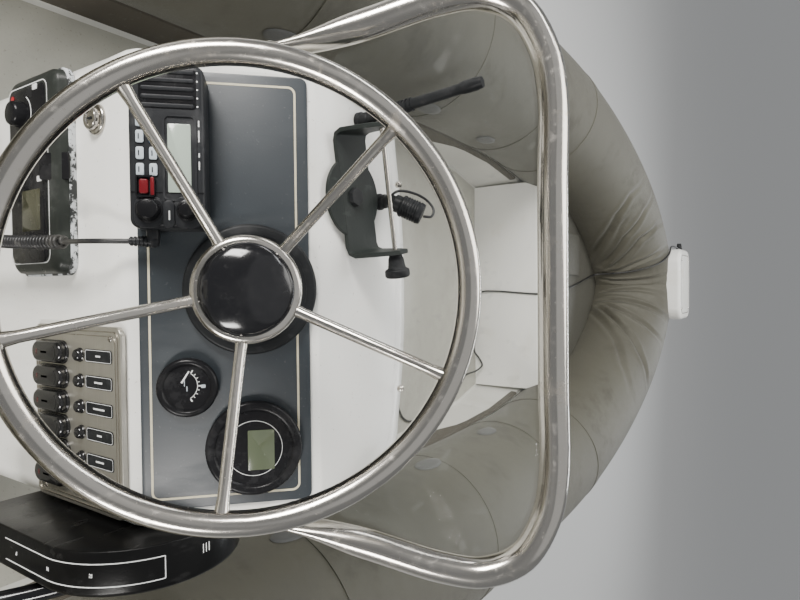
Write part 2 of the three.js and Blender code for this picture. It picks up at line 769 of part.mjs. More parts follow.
// The columns joined by a smooth line, and a sheet of even thickness on them
const SCREEN_STEPS = 56;
const SCREEN_GAP = 4.2; // room between the sheet's head and the rail
const screenLine = new THREE.CatmullRomCurve3(
  screenStations.map((s) => new THREE.Vector3(s.share, s.x, s.y)),
  false,
  "centripetal",
);

function screenSheet() {
  const columns = screenLine.getPoints(SCREEN_STEPS).map(({ x: share, y: x, z: y }) => {
    const foot = new THREE.Vector3(x, y, CONSOLE_TOP + FIT);
    const centre = railCurve.getPointAt(share);
    const down = foot.clone().sub(centre).normalize();
    const reach = (RAIL_R + SCREEN_GAP) / down.clone().cross(railCurve.getTangentAt(share)).length();
    return { foot, down, head: centre.clone().addScaledVector(down, reach) };
  });
  const rings = columns.map(({ foot, down, head }, i) => {
    const before = columns[Math.max(i - 1, 0)].foot;
    const after = columns[Math.min(i + 1, columns.length - 1)].foot;
    const face = after.clone().sub(before).cross(down).setLength(SCREEN_THICK / 2);
    const low = foot.clone().setZ(foot.z + Math.abs(face.z));
    return [low.clone().add(face), head.clone().add(face), head.clone().sub(face), low.clone().sub(face)];
  });
  return loft(rings);
}
put(boat, "windscreen", screenSheet(), "glass");

// Empty instrument bracket on the console's top: a U on a swivel foot, with a rod and a knob
const BRACKET = { x0: -170, x1: -34, y: -516, arm: 64, thick: 5 };

function gimbalBracket() {
  const { x0, x1, y, arm, thick } = BRACKET;
  const z = CONSOLE_TOP + FIT;
  const base = box(x0, x1, y - 18, y + 18, z + 6, z + 6 + thick);
  const swivel = rod([-101, y - 8, z], [-101, y - 8, z + 6 + thick], 34, 24);
  const left = box(x0, x0 + thick, y - 12, y + 22, z + 6, z + arm);
  const right = box(x1 - thick, x1, y - 12, y + 22, z + 6, z + arm);
  const bar = rod([x0 - 4, y + 12, z + arm - 12], [x1 + 6, y + 12, z + arm - 12], 2.6, 8);
  const knob = rod([x1 + 2, y + 12, z + arm - 12], [x1 + 24, y + 12, z + arm - 12], 13, 12, 14);
  return join(base, swivel, left, right, bar, knob);
}
put(boat, "gimbal_bracket", geometryOf(gimbalBracket()), "bracket");

// Capped connector standing behind the bracket, and the stub aerial on the port side
const connector = join(
  rod([-100, -476, CONSOLE_TOP + FIT], [-100, -476, CONSOLE_TOP + 26], 10, 14),
  rod([-100, -478, CONSOLE_TOP + 22], [-95, -458, CONSOLE_TOP + 52], 14, 14),
);
put(boat, "capped_connector", geometryOf(connector), "black");
const aerial = join(
  rod([-193, -492, CONSOLE_TOP + FIT], [-193, -492, CONSOLE_TOP + 16], 10.5, 14),
  rod([-193, -492, CONSOLE_TOP + 12], [-200, -488, CONSOLE_TOP + 50], 8, 12, 7),
  rod([-200, -488, CONSOLE_TOP + 49], [-212, -481, CONSOLE_TOP + 154], 7, 12, 6.5),
);
put(boat, "stub_aerial", geometryOf(aerial), "black");

// Remote control on the console's starboard side, with its lever
const CONTROL = { x0: CONSOLE_HALF + FIT, x1: 292, y: -662, z: 690, r: 104, low: 170, soft: 6 };
function controlBox() {
  const { x0, x1, y, z, r, low, soft } = CONTROL;
  const shape = new THREE.Shape();
  shape.moveTo(-r, -low);
  shape.lineTo(r, -low);
  shape.lineTo(r, 0);
  shape.absarc(0, 0, r, 0, Math.PI, false);
  const side = new THREE.ExtrudeGeometry(shape, {
    depth: x1 - x0 - 2 * soft,
    bevelThickness: soft,
    bevelSize: soft,
    bevelOffset: -soft,
    bevelSegments: 2,
    curveSegments: 12,
  });
  return side.translate(0, 0, soft).applyMatrix4(acrossBoat).translate(x0, y, z);
}
put(boat, "control_box", controlBox(), "black");

// The lever lies back and down from its hub on the box's outer face
const LEVER = {
  hub: { y: -700, z: 668, r: 42, thick: 16 },
  bend: [CONTROL.x1 + 30, -790, 598],
  end: [CONTROL.x1 + 34, -838, 560],
};
function controlLever() {
  const { hub, bend, end } = LEVER;
  const face = CONTROL.x1 + FIT;
  return join(
    rod([face, hub.y, hub.z], [face + hub.thick, hub.y, hub.z], hub.r, 18, hub.r - 4),
    rod([face + hub.thick - 2, hub.y, hub.z], bend, 11, 10, 9),
    rod(bend, end, 14, 12, 16),
  );
}
put(boat, "control_lever", geometryOf(controlLever()), "black");

// Helm seat: a box with a hinged lid, a cushion on the lid and a backrest on a bracket
const SEAT = { half: 250, y0: -1640, y1: -1190, top: 470, base: SOLE_Z + FIT };
const SEAT_LID = 14;
const CUSHION = 80;

function seatBox() {
  const { half, y0, y1, top, base } = SEAT;
  const outer = new THREE.ExtrudeGeometry(roundedRect(2 * half, y1 - y0, 50), {
    depth: top - base,
    bevelEnabled: false,
    curveSegments: 5,
  }).translate(0, (y0 + y1) / 2, base);
  const inner = new THREE.ExtrudeGeometry(roundedRect(2 * (half - WALL), y1 - y0 - 2 * WALL, 43), {
    depth: top - base,
    bevelEnabled: false,
    curveSegments: 5,
  }).translate(0, (y0 + y1) / 2, base + WALL);
  return solid(outer).subtract(solid(inner));
}
put(boat, "seat_box", geometryOf(seatBox()), "gelcoat");
const lidPlate = plate(roundedRect(2 * SEAT.half + 20, SEAT.y1 - SEAT.y0 - 20, 56), SEAT_LID, 5);
const seatMiddle = (SEAT.y0 + SEAT.y1) / 2;
put(boat, "seat_lid", lidPlate, "gelcoat", [0, seatMiddle + 15, SEAT.top + FIT]);
const cushionZ = SEAT.top + SEAT_LID + 2 * FIT;
const cushion = softPlate(2 * SEAT.half, SEAT.y1 - SEAT.y0 - 40, CUSHION, 60, 20, 4);
put(boat, "seat_cushion", cushion, "vinyl", [0, seatMiddle + 15, cushionZ]);

const BACK = { y: -1668, x: 190, top: 860, r: 14 };
function backFrame() {
  const path = [
    [-BACK.x, -1640 - BACK.r - 5, 330],
    [-BACK.x, -1640 - BACK.r - 5, 470],
    [-BACK.x + 6, BACK.y - 42, 620],
    [-BACK.x + 14, BACK.y - 42, 760],
    [-BACK.x + 60, BACK.y - 42, BACK.top],
    [BACK.x - 60, BACK.y - 42, BACK.top],
    [BACK.x - 14, BACK.y - 42, 760],
    [BACK.x - 6, BACK.y - 42, 620],
    [BACK.x, -1640 - BACK.r - 5, 470],
    [BACK.x, -1640 - BACK.r - 5, 330],
  ].map((p) => new THREE.Vector3(...p));
  const tube = new THREE.ExtrudeGeometry(
    new THREE.Shape().absarc(0, 0, BACK.r, 0, 2 * Math.PI, false),
    { steps: 28, curveSegments: 5, extrudePath: new THREE.CatmullRomCurve3(path, false, "centripetal") },
  );
  const feet = [-1, 1].flatMap((side) => [
    box(side * BACK.x - 22, side * BACK.x + 22, SEAT.y0 - 12, SEAT.y0 - FIT, 335, 365),
    box(side * BACK.x - 22, side * BACK.x + 22, SEAT.y0 - 12, SEAT.y0 - FIT, 425, 455),
  ]);
  return join(tube, ...feet);
}
put(boat, "backrest_frame", geometryOf(backFrame()), "steel");
const backPad = softPlate(400, 230, 62, 50, 16, 4).rotateX(-Math.PI / 2);
put(boat, "backrest_pad", backPad, "vinyl", [0, BACK.y - 42 + BACK.r - 0.4, 752]);

// Outboard motor: clamp on the transom, a swivel that tilts, the motor that steers, and the propeller
const STEER_Y = -2205;
const clampArm = (side) => {
  const shape = outline([
    [-2172, 345],
    [-1982, 345],
    [-1982, 190],
    [-1998 + FIT, 190],
    [-1998 + FIT, TRANSOM_TOP + FIT],
    [TRANSOM_Y - FIT, TRANSOM_TOP + FIT],
    [TRANSOM_Y - FIT, 60],
    [-2110, 60],
    [-2150, 250],
  ]);
  return plate(shape, 14).applyMatrix4(acrossBoat).translate(side * 78 - 7, 0, 0);
};
const clamp = join(
  clampArm(-1),
  clampArm(1),
  rod([-88, TILT_Y, TILT_Z], [88, TILT_Y, TILT_Z], 13, 16),
  box(-78, 78, -2066, TRANSOM_Y - FIT, 70, 110),
);
put(boat, "clamp_bracket", geometryOf(clamp), "metal");

function swivelBracket() {
  const eye = rod([-64, TILT_Y, TILT_Z], [64, TILT_Y, TILT_Z], 26, 18);
  const arm = box(-50, 50, STEER_Y, TILT_Y, TILT_Z - 14, TILT_Z + 16);
  const barrel = rod([0, STEER_Y, 60], [0, STEER_Y, 336], 31, 20);
  const bore = rod([-80, TILT_Y, TILT_Z], [80, TILT_Y, TILT_Z], 13.6, 16);
  return join(eye, arm, barrel).subtract(solid(bore));
}
put(boat, "swivel_bracket", geometryOf(swivelBracket()), "metal");

// Leg: sections from the power head down to the gearcase's keel: z, nose y, tail y, half width
const LEG = [
  { z: 341, nose: -2172, tail: -2500, half: 110 },
  { z: 372, nose: -2146, tail: -2552, half: 144 },
];
const LEG_DOWN = [
  { z: 346, nose: -2238, tail: -2400, half: 60 },
  { z: 150, nose: -2242, tail: -2392, half: 52 },
  { z: -60, nose: -2246, tail: -2386, half: 44 },
  { z: -205, nose: -2244, tail: -2392, half: 34 },
  { z: -330, nose: -2232, tail: -2372, half: 20 },
];
function foilRing(section, count = 14) {
  const ring = [];
  for (let i = 0; i < count; i++) {
    const a = (2 * Math.PI * i) / count;
    const along = (section.nose - section.tail) / 2;
    const y = (section.nose + section.tail) / 2 + Math.cos(a) * along;
    const x = Math.sin(a) * section.half * (1 - 0.22 * (1 - Math.cos(a)));
    ring.push(new THREE.Vector3(x, y, section.z));
  }
  return ring;
}
const GEARCASE = [
  { y: -2150, r: 6 },
  { y: -2164, r: 26 },
  { y: -2200, r: 42 },
  { y: -2300, r: 50 },
  { y: -2400, r: 48 },
  { y: -2426, r: 40 },
];
function gearcase() {
  const profile = [
    new THREE.Vector2(0, -GEARCASE[0].y),
    ...GEARCASE.map((g) => new THREE.Vector2(g.r, -g.y)),
    new THREE.Vector2(0, -GEARCASE[GEARCASE.length - 1].y),
  ];
  return new THREE.LatheGeometry(profile, 20).rotateX(Math.PI).translate(0, 0, PROP_Z);
}
function leg() {
  const head = loft(LEG.map((s) => foilRing(s, 20)));
  const down = loft([...LEG_DOWN].reverse().map((s) => foilRing(s)));
  const yoke = box(-46, 46, -2300, STEER_Y + 34, 28, 60 - FIT);
  const cavitationPlan = [
    [-70, -2250],
    [70, -2250],
    [92, -2330],
    [88, -2470],
    [-88, -2470],
    [-92, -2330],
  ];
  const cavitation = plate(outline(cavitationPlan), 9).translate(0, 0, -186);
  const skegProfile = [
    [-2250, -380],
    [-2330, -505],
    [-2400, -505],
    [-2392, -380],
  ];
  const skeg = plate(outline(skegProfile), 8).applyMatrix4(acrossBoat).translate(-4, 0, 0);
  return join(head, down, yoke, cavitation, gearcase(), skeg);
}
put(boat, "motor_leg", geometryOf(leg()), "metal");

// Cowling: a hollow shell open below, over the engine block
const COWL = [
  { z: 372 + FIT, nose: -2140, tail: -2560, half: 150 },
  { z: 430, nose: -2132, tail: -2590, half: 166 },
  { z: 600, nose: -2136, tail: -2610, half: 172 },
  { z: 710, nose: -2150, tail: -2596, half: 158 },
  { z: 762, nose: -2190, tail: -2540, half: 120 },
  { z: 780, nose: -2250, tail: -2470, half: 66 },
];
const cowlOuter = loft(COWL.map((s) => foilRing(s, 26)));
const cowlInner = loft(
  COWL.slice(0, -1).map((s, i) =>
    foilRing({ z: s.z - 6 - (i === 0 ? 20 : 0), nose: s.nose - 8, tail: s.tail + 8, half: s.half - 8 }, 26),
  ),
);
put(boat, "cowling", geometryOf(solid(cowlOuter).subtract(solid(cowlInner))), "cowl");
put(boat, "engine_block", box(-84, 84, -2425, -2215, 372 + FIT, 640), "metal");

const BLADES = 3;
const BLADE_THICK = 7;
const BLADE_PITCH = 0.62;
const PROP_Y = -2474;
const BLADE = [
  [-28, 20],
  [-56, 84],
  [-50, 122],
  [-8, PROP_R - 2],
  [38, 132],
  [56, 84],
  [26, 20],
];

function propeller() {
  const hub = rod([0, -2426 - FIT, PROP_Z], [0, -2520, PROP_Z], 38, 18, 30);
  let body = solid(hub);
  for (let i = 0; i < BLADES; i++) {
    const blade = new THREE.ExtrudeGeometry(
      outline(BLADE),
      { depth: BLADE_THICK, bevelEnabled: false },
    );
    blade.translate(0, 0, -BLADE_THICK / 2).rotateY(BLADE_PITCH).rotateX(Math.PI / 2);
    blade.rotateY((i * 2 * Math.PI) / BLADES).translate(0, PROP_Y, PROP_Z);
    body = body.add(solid(blade));
  }
  return body;
}
put(boat, "propeller", geometryOf(propeller()), "metal");

// Navigation light at the step's port end, and the wire to it over the sole, the locker and the collar
put(
  boat,
  "bow_light",
  geometryOf(
    join(
      rod([-STEP.x - FIT, 2262, 772], [-STEP.x - 12, 2262, 772], 15, 14),
      rod([-STEP.x - 12, 2262, 772], [-STEP.x - 34, 2262, 772], 12, 14, 10),
    ),
  ),
  "black",
);
const WIRE_R = 3.8;
const BOW_WIRE = [
  [150, GLAND.y1 + FIT, 150],
  [150, -293, 150],
  [151, -275, 134],
  [158, -252, 112],
  [180, -190, 107],
  [250, 60, 107],
  [370, 500, 107],
  [410, 683, 107],
  [470, 730, 107],
  [495, 800, 107],
  [470, 960, 107],
  [400, 1120, 107],
  [374, 1230, 108],
  [364, 1286, 124],
  [342, 1302, 140],
  [312, 1300, 126],
  [282, 1292, 108],
  [200, 1304, 107],
  [90, 1308, 107],
  [40, 1304, 112],
  [24, 1309, 140],
  [22, 1314, 200],
  [34, 1314, 380],
  [32, 1310, 440],
  [30, 1319, 455],
  [28, 1340, 453.5],
  [18, 1460, 452.5],
  [-2, 1600, 452.5],
  [-30, 1760, 453.4],
  [-44, 1838, 455],
  [-51, 1870, 466],
  [-53, 1877, 500],
  [-56, 1877, 560],
  [-63, 1893, 626],
  [-78, 1928, 684],
  [-104, 1988, 735],
  [-148, 2066, 760],
  [-182, 2130, 756],
  [-187, 2200, 762],
  [-179, 2246.4, 772],
];

// A hand-laid route, whose steps fall on its points and are closest where the points are
class Route extends THREE.CatmullRomCurve3 {
  getPointAt(t) {
    return this.getPoint(t);
  }
  getTangentAt(t) {
    return this.getTangent(t);
  }
}

function cordTube(points, radius, sides, stepsPerPoint) {
  const path = new Route(points.map((p) => new THREE.Vector3(...p)), false, "centripetal");
  const ring = [];
  for (let i = 0; i < sides; i++) {
    const a = (2 * Math.PI * i) / sides;
    ring.push([radius * Math.cos(a), radius * Math.sin(a)]);
  }
  const steps = (points.length - 1) * stepsPerPoint;
  return new THREE.ExtrudeGeometry(outline(ring), { steps, extrudePath: path });
}
put(boat, "bow_wire", cordTube(BOW_WIRE, WIRE_R, 8, 2), "black");

// Microphone on a clip behind the console, and its curly lead
const MIC_LEAD = [
  [-47, -712.3, 754.4],
  [-47, -718.8, 748.1],
  [-47.2, -729, 736],
  [-47.6, -737, 716],
  [-48, -741, 690],
];
const CURLY_CORD = [
  [-48, -741, 689.6],
  [-49, -744, 660],
  [-52, -746, 600],
  [-58, -750, 520],
  [-62, -756, 440],
  [-66, -758, 380],
  [-80, -758, 336],
  [-98, -758, 322],
  [-116, -758, 336],
  [-128, -758, 356],
  [-130, -757, 370],
  [-130, -757, 384],
];
const MIC = { x: -130, y0: -773, y1: -741, z0: 400, z1: 488, half: 29 };
const CORD_R = 2.5;
const CURLY_R = 7.5;
put(boat, "mic_lead", cordTube(MIC_LEAD, CORD_R, 8, 2), "black");
put(boat, "mic_curly_cord", cordTube(CURLY_CORD, CURLY_R, 10, 2), "black");
const micBody = softPlate(2 * MIC.half, MIC.z1 - MIC.z0, MIC.y1 - MIC.y0, 14, 5).rotateX(Math.PI / 2);
micBody.translate(MIC.x, MIC.y1, (MIC.z0 + MIC.z1) / 2);
const micBoss = rod([MIC.x, -757, 384 + FIT], [MIC.x, -757, MIC.z0 + 4], 8, 10, 9);
put(boat, "vhf_microphone", geometryOf(join(micBody, micBoss)), "black");
const clip = box(MIC.x - 12, MIC.x + 12, MIC.y1 + FIT, AFT_FACE - FIT, 425, 465);
put(boat, "mic_clip", clip, "steel");

export default boat;
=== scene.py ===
from math import asin, atan2, cos, hypot, pi, radians, sin, sqrt

import bmesh
import bpy
import numpy as np
from mathutils import Matrix, Vector, noise


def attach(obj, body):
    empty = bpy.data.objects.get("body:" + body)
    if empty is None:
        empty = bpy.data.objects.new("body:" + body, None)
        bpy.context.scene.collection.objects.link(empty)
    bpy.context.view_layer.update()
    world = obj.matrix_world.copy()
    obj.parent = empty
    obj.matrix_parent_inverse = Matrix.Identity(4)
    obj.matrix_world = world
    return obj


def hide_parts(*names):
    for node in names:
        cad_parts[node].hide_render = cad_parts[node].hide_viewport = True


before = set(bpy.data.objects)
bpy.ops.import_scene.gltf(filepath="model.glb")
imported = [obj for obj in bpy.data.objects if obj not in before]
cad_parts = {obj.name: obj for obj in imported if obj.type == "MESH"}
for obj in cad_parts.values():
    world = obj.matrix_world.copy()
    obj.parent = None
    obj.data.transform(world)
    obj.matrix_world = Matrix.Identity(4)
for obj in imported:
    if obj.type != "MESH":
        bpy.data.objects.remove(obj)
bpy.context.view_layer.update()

mm = 0.001
fullTurn = 2 * pi


def angles(count):
    return [fullTurn * i / count for i in range(count)]


scene = bpy.context.scene


def linked(name, data):
    made = bpy.data.objects.new(name, data)
    scene.collection.objects.link(made)
    return made


# Camera and light
camera = {"place": (0.0, -1.05, 1.30), "pitch": 34.0, "yaw": 1.5, "roll": 0.3, "focalPixels": 600,
          "frameWidth": 800}


def makeCamera():
    pitch = radians(camera["pitch"])
    yaw = radians(camera["yaw"])
    roll = radians(camera["roll"])
    ahead = Vector((sin(yaw) * cos(pitch), cos(yaw) * cos(pitch), -sin(pitch)))
    level = Vector((cos(yaw), -sin(yaw), 0))
    above = level.cross(ahead)
    right = cos(roll) * level + sin(roll) * above
    up = -sin(roll) * level + cos(roll) * above
    data = bpy.data.cameras.new("helmCamera")
    data.sensor_width = 36
    data.lens = 36 * camera["focalPixels"] / camera["frameWidth"]
    data.clip_start = 0.02
    data.clip_end = 500
    made = linked("helmCamera", data)
    turned = Matrix((up, -right, -ahead)).transposed().to_4x4()  # the picture lies on its side
    made.matrix_world = Matrix.Translation(camera["place"]) @ turned
    scene.camera = made


makeCamera()
print("camera set")

lights = [  # name, place, aim, size, power, colour
    ("overheadSoftbox", (-0.9, 1.3, 3.9), (0, 0.6, 0.4), (2.6, 2.2), 92, (1.0, 0.985, 0.95)),
    ("portSternBox", (-2.5, -2.7, 1.9), (0, -0.6, 0.6), (0.9, 1.5), 205, (1.0, 0.975, 0.94)),
    ("starboardSternBox", (2.3, -2.9, 1.5), (0, -0.6, 0.6), (0.5, 1.3), 90, (1.0, 0.975, 0.94)),
    ("bowStrip", (0.6, 4.6, 2.7), (0, 1.4, 0.5), (3.2, 0.3), 55, (0.95, 0.98, 1.0)),
    ("portStrip", (-3.0, 0.3, 2.6), (0, -0.2, 0.7), (0.3, 3.2), 40, (0.97, 0.99, 1.0)),
]


def makeLights():
    for name, place, aim, size, power, colour in lights:
        data = bpy.data.lights.new(name, "AREA")
        data.shape = "RECTANGLE"
        data.size, data.size_y = size
        data.energy = power
        data.color = colour
        lamp = linked(name, data)
        lamp.location = place
        lamp.rotation_euler = (Vector(aim) - Vector(place)).to_track_quat("-Z", "Y").to_euler()
    wash = bpy.data.lights.new("floorWash", "SUN")
    wash.energy = 0.5
    wash.angle = 1.6
    linked("floorWash", wash)
    world = bpy.data.worlds.new("studio")
    world.use_nodes = True
    sky = world.node_tree.nodes["Background"]
    sky.inputs["Color"].default_value = (0.93, 0.96, 1.0, 1)
    sky.inputs["Strength"].default_value = 0.27
    scene.world = world


makeLights()


# Node trees
class Wire:
    # an output socket that takes part in Python expressions
    def __init__(self, graph, socket):
        self.graph = graph
        self.socket = socket

    def maths(self, operation, first, second):
        return self.graph.node("ShaderNodeMath", {"operation": operation}, {0: first, 1: second})

    def __add__(self, other):
        return self.maths("ADD", self, other)

    __radd__ = __add__

    def __mul__(self, other):
        return self.maths("MULTIPLY", self, other)

    __rmul__ = __mul__

    def __sub__(self, other):
        return self.maths("SUBTRACT", self, other)

    def __rsub__(self, other):
        return self.maths("SUBTRACT", other, self)

    def __truediv__(self, other):
        return self.maths("DIVIDE", self, other)


class Graph:
    def __init__(self, tree):
        self.tree = tree
        tree.nodes.clear()

    def node(self, kind, settings=None, inputs=None, output=0):
        made = self.tree.nodes.new(kind)
        for key, value in (settings or {}).items():
            setattr(made, key, value)
        for key, value in (inputs or {}).items():
            if isinstance(value, Wire):
                self.tree.links.new(value.socket, made.inputs[key])
            else:
                made.inputs[key].default_value = value
        return Wire(self, made.outputs[output]) if len(made.outputs) else made


class Finish(Graph):
    def __init__(self, name):
        self.material = bpy.data.materials.new(name)
        self.material.use_nodes = True
        super().__init__(self.material.node_tree)
        self.shader = self.tree.nodes.new("ShaderNodeBsdfPrincipled")
        self.node("ShaderNodeOutputMaterial", inputs={"Surface": Wire(self, self.shader.outputs[0])})
        self.place = self.node("ShaderNodeTexCoord", output="Object")

    def mapped(self, stretch=(1, 1, 1), turn=(0, 0, 0), source=None):
        sockets = {"Vector": source or self.place, "Scale": stretch, "Rotation": turn}
        return self.node("ShaderNodeMapping", inputs=sockets)

    def cloud(self, scale, detail=3, rough=0.55, **mapping):
        where = self.mapped(**mapping)
        sockets = {"Vector": where, "Scale": scale, "Detail": detail, "Roughness": rough}
        return self.node("ShaderNodeTexNoise", inputs=sockets)

    def cells(self, scale, feature="F1", **mapping):
        where = self.mapped(**mapping)
        return self.node("ShaderNodeTexVoronoi", {"feature": feature}, {"Vector": where, "Scale": scale})

    def waves(self, scale, direction, source):
        settings = {"wave_type": "BANDS", "bands_direction": direction}
        sockets = {"Vector": self.mapped(source=source), "Scale": scale}
        return self.node("ShaderNodeTexWave", settings, sockets, output="Fac")

    def ease(self, value, low, high):
        sockets = {"Value": value, "From Min": low, "From Max": high}
        return self.node("ShaderNodeMapRange", {"interpolation_type": "SMOOTHSTEP"}, sockets)

    def blots(self, low, high, *noise, **mapping):
        return self.ease(self.cloud(*noise, **mapping), low, high)

    def mix(self, share, first, second):
        first = first if isinstance(first, Wire) else (*first, 1)
        second = second if isinstance(second, Wire) else (*second, 1)
        return self.node("ShaderNodeMix", {"data_type": "RGBA"}, {0: share, 6: first, 7: second}, output=2)

    def relief(self, height, distance, strength):
        return self.node("ShaderNodeBump", inputs={"Height": height, "Distance": distance,
                                                   "Strength": strength})

    def surface(self, **sockets):
        for name, value in sockets.items():
            socket = self.shader.inputs[socketNames.get(name, name)]
            if isinstance(value, Wire):
                self.tree.links.new(value.socket, socket)
            elif socket.type == "RGBA":
                socket.default_value = (*value, 1)
            else:
                socket.default_value = value
        return self.material


socketNames = {
    "colour": "Base Color", "roughness": "Roughness", "metallic": "Metallic", "normal": "Normal",
    "alpha": "Alpha", "coat": "Coat Weight", "coatRoughness": "Coat Roughness", "sheen": "Sheen Weight",
    "sheenRoughness": "Sheen Roughness", "specular": "Specular IOR Level", "ior": "IOR",
    "glow": "Emission Color", "glowStrength": "Emission Strength", "through": "Transmission Weight",
}


# Finishes
def gelcoatFinish(name, colour, stain, shine=0.26):
    f = Finish(name)
    broad = f.cloud(1.7, 5, 0.6)
    runs = f.cloud(9, 5, 0.6, stretch=(1, 1, 0.16))
    stains = f.ease(runs * 0.65 + broad * 0.45, 0.56, 0.78)
    specks = f.blots(0.69, 0.76, 260, 2)
    tint = f.mix(f.ease(broad, 0.35, 0.7) * 0.5, colour, [c * 0.93 for c in colour])
    tint = f.mix(stains * 0.42, tint, stain)
    tint = f.mix(specks * 0.35, tint, (0.16, 0.14, 0.11))
    hairlines = f.blots(0.64, 0.7, 70, 2, stretch=(1, 0.05, 1), turn=(0.3, 0.2, 0.5))
    rough = shine + stains * 0.22 + hairlines * 0.2 + f.cloud(24, 3) * 0.1
    peel = f.cloud(130, 2) * 0.6 + f.cloud(6, 2) * 1.0 - hairlines * 0.3
    return f.surface(colour=tint, roughness=rough, normal=f.relief(peel, 0.0006, 0.35), coat=0.25,
                     coatRoughness=0.12)


def lockerFinish():
    # white walls, a worn non-slip top that has gone grey
    f = Finish("lockerGelcoat")
    height = f.node("ShaderNodeSeparateXYZ", inputs={0: f.place}, output=2)
    top = f.ease(height, 0.4455, 0.4465)
    broad = f.cloud(3.1, 6, 0.62)
    grit = f.ease(f.cells(900), 0.2, 0.6)
    stains = f.blots(0.52, 0.75, 8, 5, 0.65)
    wall = f.mix(stains * 0.25, (0.86, 0.855, 0.81), (0.60, 0.56, 0.46))
    deck = f.mix(broad, (0.064, 0.062, 0.048), (0.046, 0.044, 0.034))
    deck = f.mix(stains * 0.4, deck, (0.052, 0.049, 0.038))
    tint = f.mix(top, wall, deck)
    height = f.cloud(130, 2) * 0.5 + top * grit * 1.4
    return f.surface(colour=tint, roughness=0.28 + top * 0.34 + stains * 0.1,
                     normal=f.relief(height, 0.0005, 0.4),
                     coat=0.15, coatRoughness=0.15)


def soleFinish():
    f = Finish("soleNonslip")
    broad = f.cloud(2.2, 6, 0.62)
    trodden = f.blots(0.45, 0.7, 4.5, 5, 0.65)
    grit = f.cells(420)
    tint = f.mix(f.ease(broad, 0.3, 0.7), (0.36, 0.352, 0.30), (0.46, 0.452, 0.395))
    tint = f.mix(trodden * 0.4, tint, (0.26, 0.25, 0.205))
    tint = f.mix(f.blots(0.62, 0.74, 160, 2) * 0.4, tint, (0.13, 0.12, 0.10))
    bumps = f.ease(grit, 0.25, 0.0) + f.cloud(60, 3) * 0.4
    return f.surface(colour=tint, roughness=0.5 + trodden * 0.2, normal=f.relief(bumps, 0.0009, 0.5))


def tubeFinish(name, colour, dirty):
    f = Finish(name)
    cloth = f.node("ShaderNodeUVMap", {"uv_map": "cloth"})
    broad = f.cloud(2.6, 6, 0.62)
    blotch = f.blots(0.5, 0.72, 7.5, 6, 0.66)
    faded = f.blots(0.4, 0.65, 1.1, 3)
    thread = f.waves(520, "X", cloth) * 0.5 + f.waves(520, "Y", cloth) * 0.5
    scuffs = f.blots(0.63, 0.72, 46, 4, 0.7, stretch=(0.3, 1, 1), turn=(0, 0, 0.6))
    tint = f.mix(f.ease(broad, 0.3, 0.72), colour, [c * 0.82 for c in colour])
    tint = f.mix(faded * 0.4, tint, [min(c * 1.16, 1) for c in colour])
    tint = f.mix(blotch * 0.5, tint, dirty)
    tint = f.mix(scuffs * 0.35, tint, [c * 0.5 for c in dirty])
    tint = f.mix(f.blots(0.64, 0.74, 330, 2) * 0.3, tint, (0.07, 0.065, 0.05))
    rough = 0.55 + blotch * 0.14 - scuffs * 0.1 + f.cloud(30, 2) * 0.08
    height = thread * 0.35 + f.cloud(90, 4, 0.7) * 0.8 + f.cloud(14, 3) * 1.5
    return f.surface(colour=tint, roughness=rough, normal=f.relief(height, 0.0007, 0.6), sheen=0.12,
                     sheenRoughness=0.5)


def rubberFinish(name, colour, rough=0.6):
    f = Finish(name)
    dust = f.blots(0.48, 0.72, 11, 5, 0.65)
    rub = f.blots(0.6, 0.72, 75, 3)
    tint = f.mix(dust * 0.5, colour, (0.11, 0.105, 0.09))
    tint = f.mix(rub * 0.35, tint, (0.17, 0.165, 0.15))
    height = f.cloud(240, 3) + rub * 0.5
    return f.surface(colour=tint, roughness=rough + dust * 0.18, normal=f.relief(height, 0.0004, 0.4))


def steelFinish():
    f = Finish("polishedSteel")
    haze = f.cloud(9, 5, 0.6)
    tarnish = f.blots(0.58, 0.72, 26, 5, 0.68)
    pits = f.blots(0.68, 0.75, 420, 2)
    rubs = f.blots(0.56, 0.68, 110, 3, 0.6, stretch=(1, 0.16, 1), turn=(0.4, 0.1, 0.2))
    tint = f.mix(haze, (0.64, 0.61, 0.56), (0.50, 0.47, 0.42))
    tint = f.mix(tarnish * 0.42, tint, (0.34, 0.29, 0.22))
    tint = f.mix(pits * 0.35, tint, (0.22, 0.18, 0.14))
    rough = 0.13 + haze * 0.1 + tarnish * 0.12 + rubs * 0.08 + pits * 0.1
    height = rubs * 0.05 + f.cloud(38, 3) * 0.3
    return f.surface(colour=tint, metallic=1.0 - tarnish * 0.08, roughness=rough,
                     normal=f.relief(height, 0.00025, 0.5))


def dashFinish():
    f = Finish("dashSatin")
    broad = f.cloud(6, 5, 0.6)
    smears = f.blots(0.48, 0.7, 16, 5, 0.65, stretch=(1, 0.35, 0.35), turn=(0, 0, 0.5))
    specks = f.blots(0.66, 0.74, 300, 2)
    tint = f.mix(broad, (0.017, 0.022, 0.027), (0.028, 0.035, 0.041))
    tint = f.mix(smears * 0.3, tint, (0.062, 0.072, 0.078))
    tint = f.mix(specks * 0.1, tint, (0.30, 0.30, 0.29))
    height = f.cloud(480, 2) * 0.5 + f.cloud(40, 3) * 0.5
    return f.surface(colour=tint, roughness=0.36 + smears * 0.16 + broad * 0.08,
                     normal=f.relief(height, 0.0003, 0.4), coat=0.1, coatRoughness=0.3)


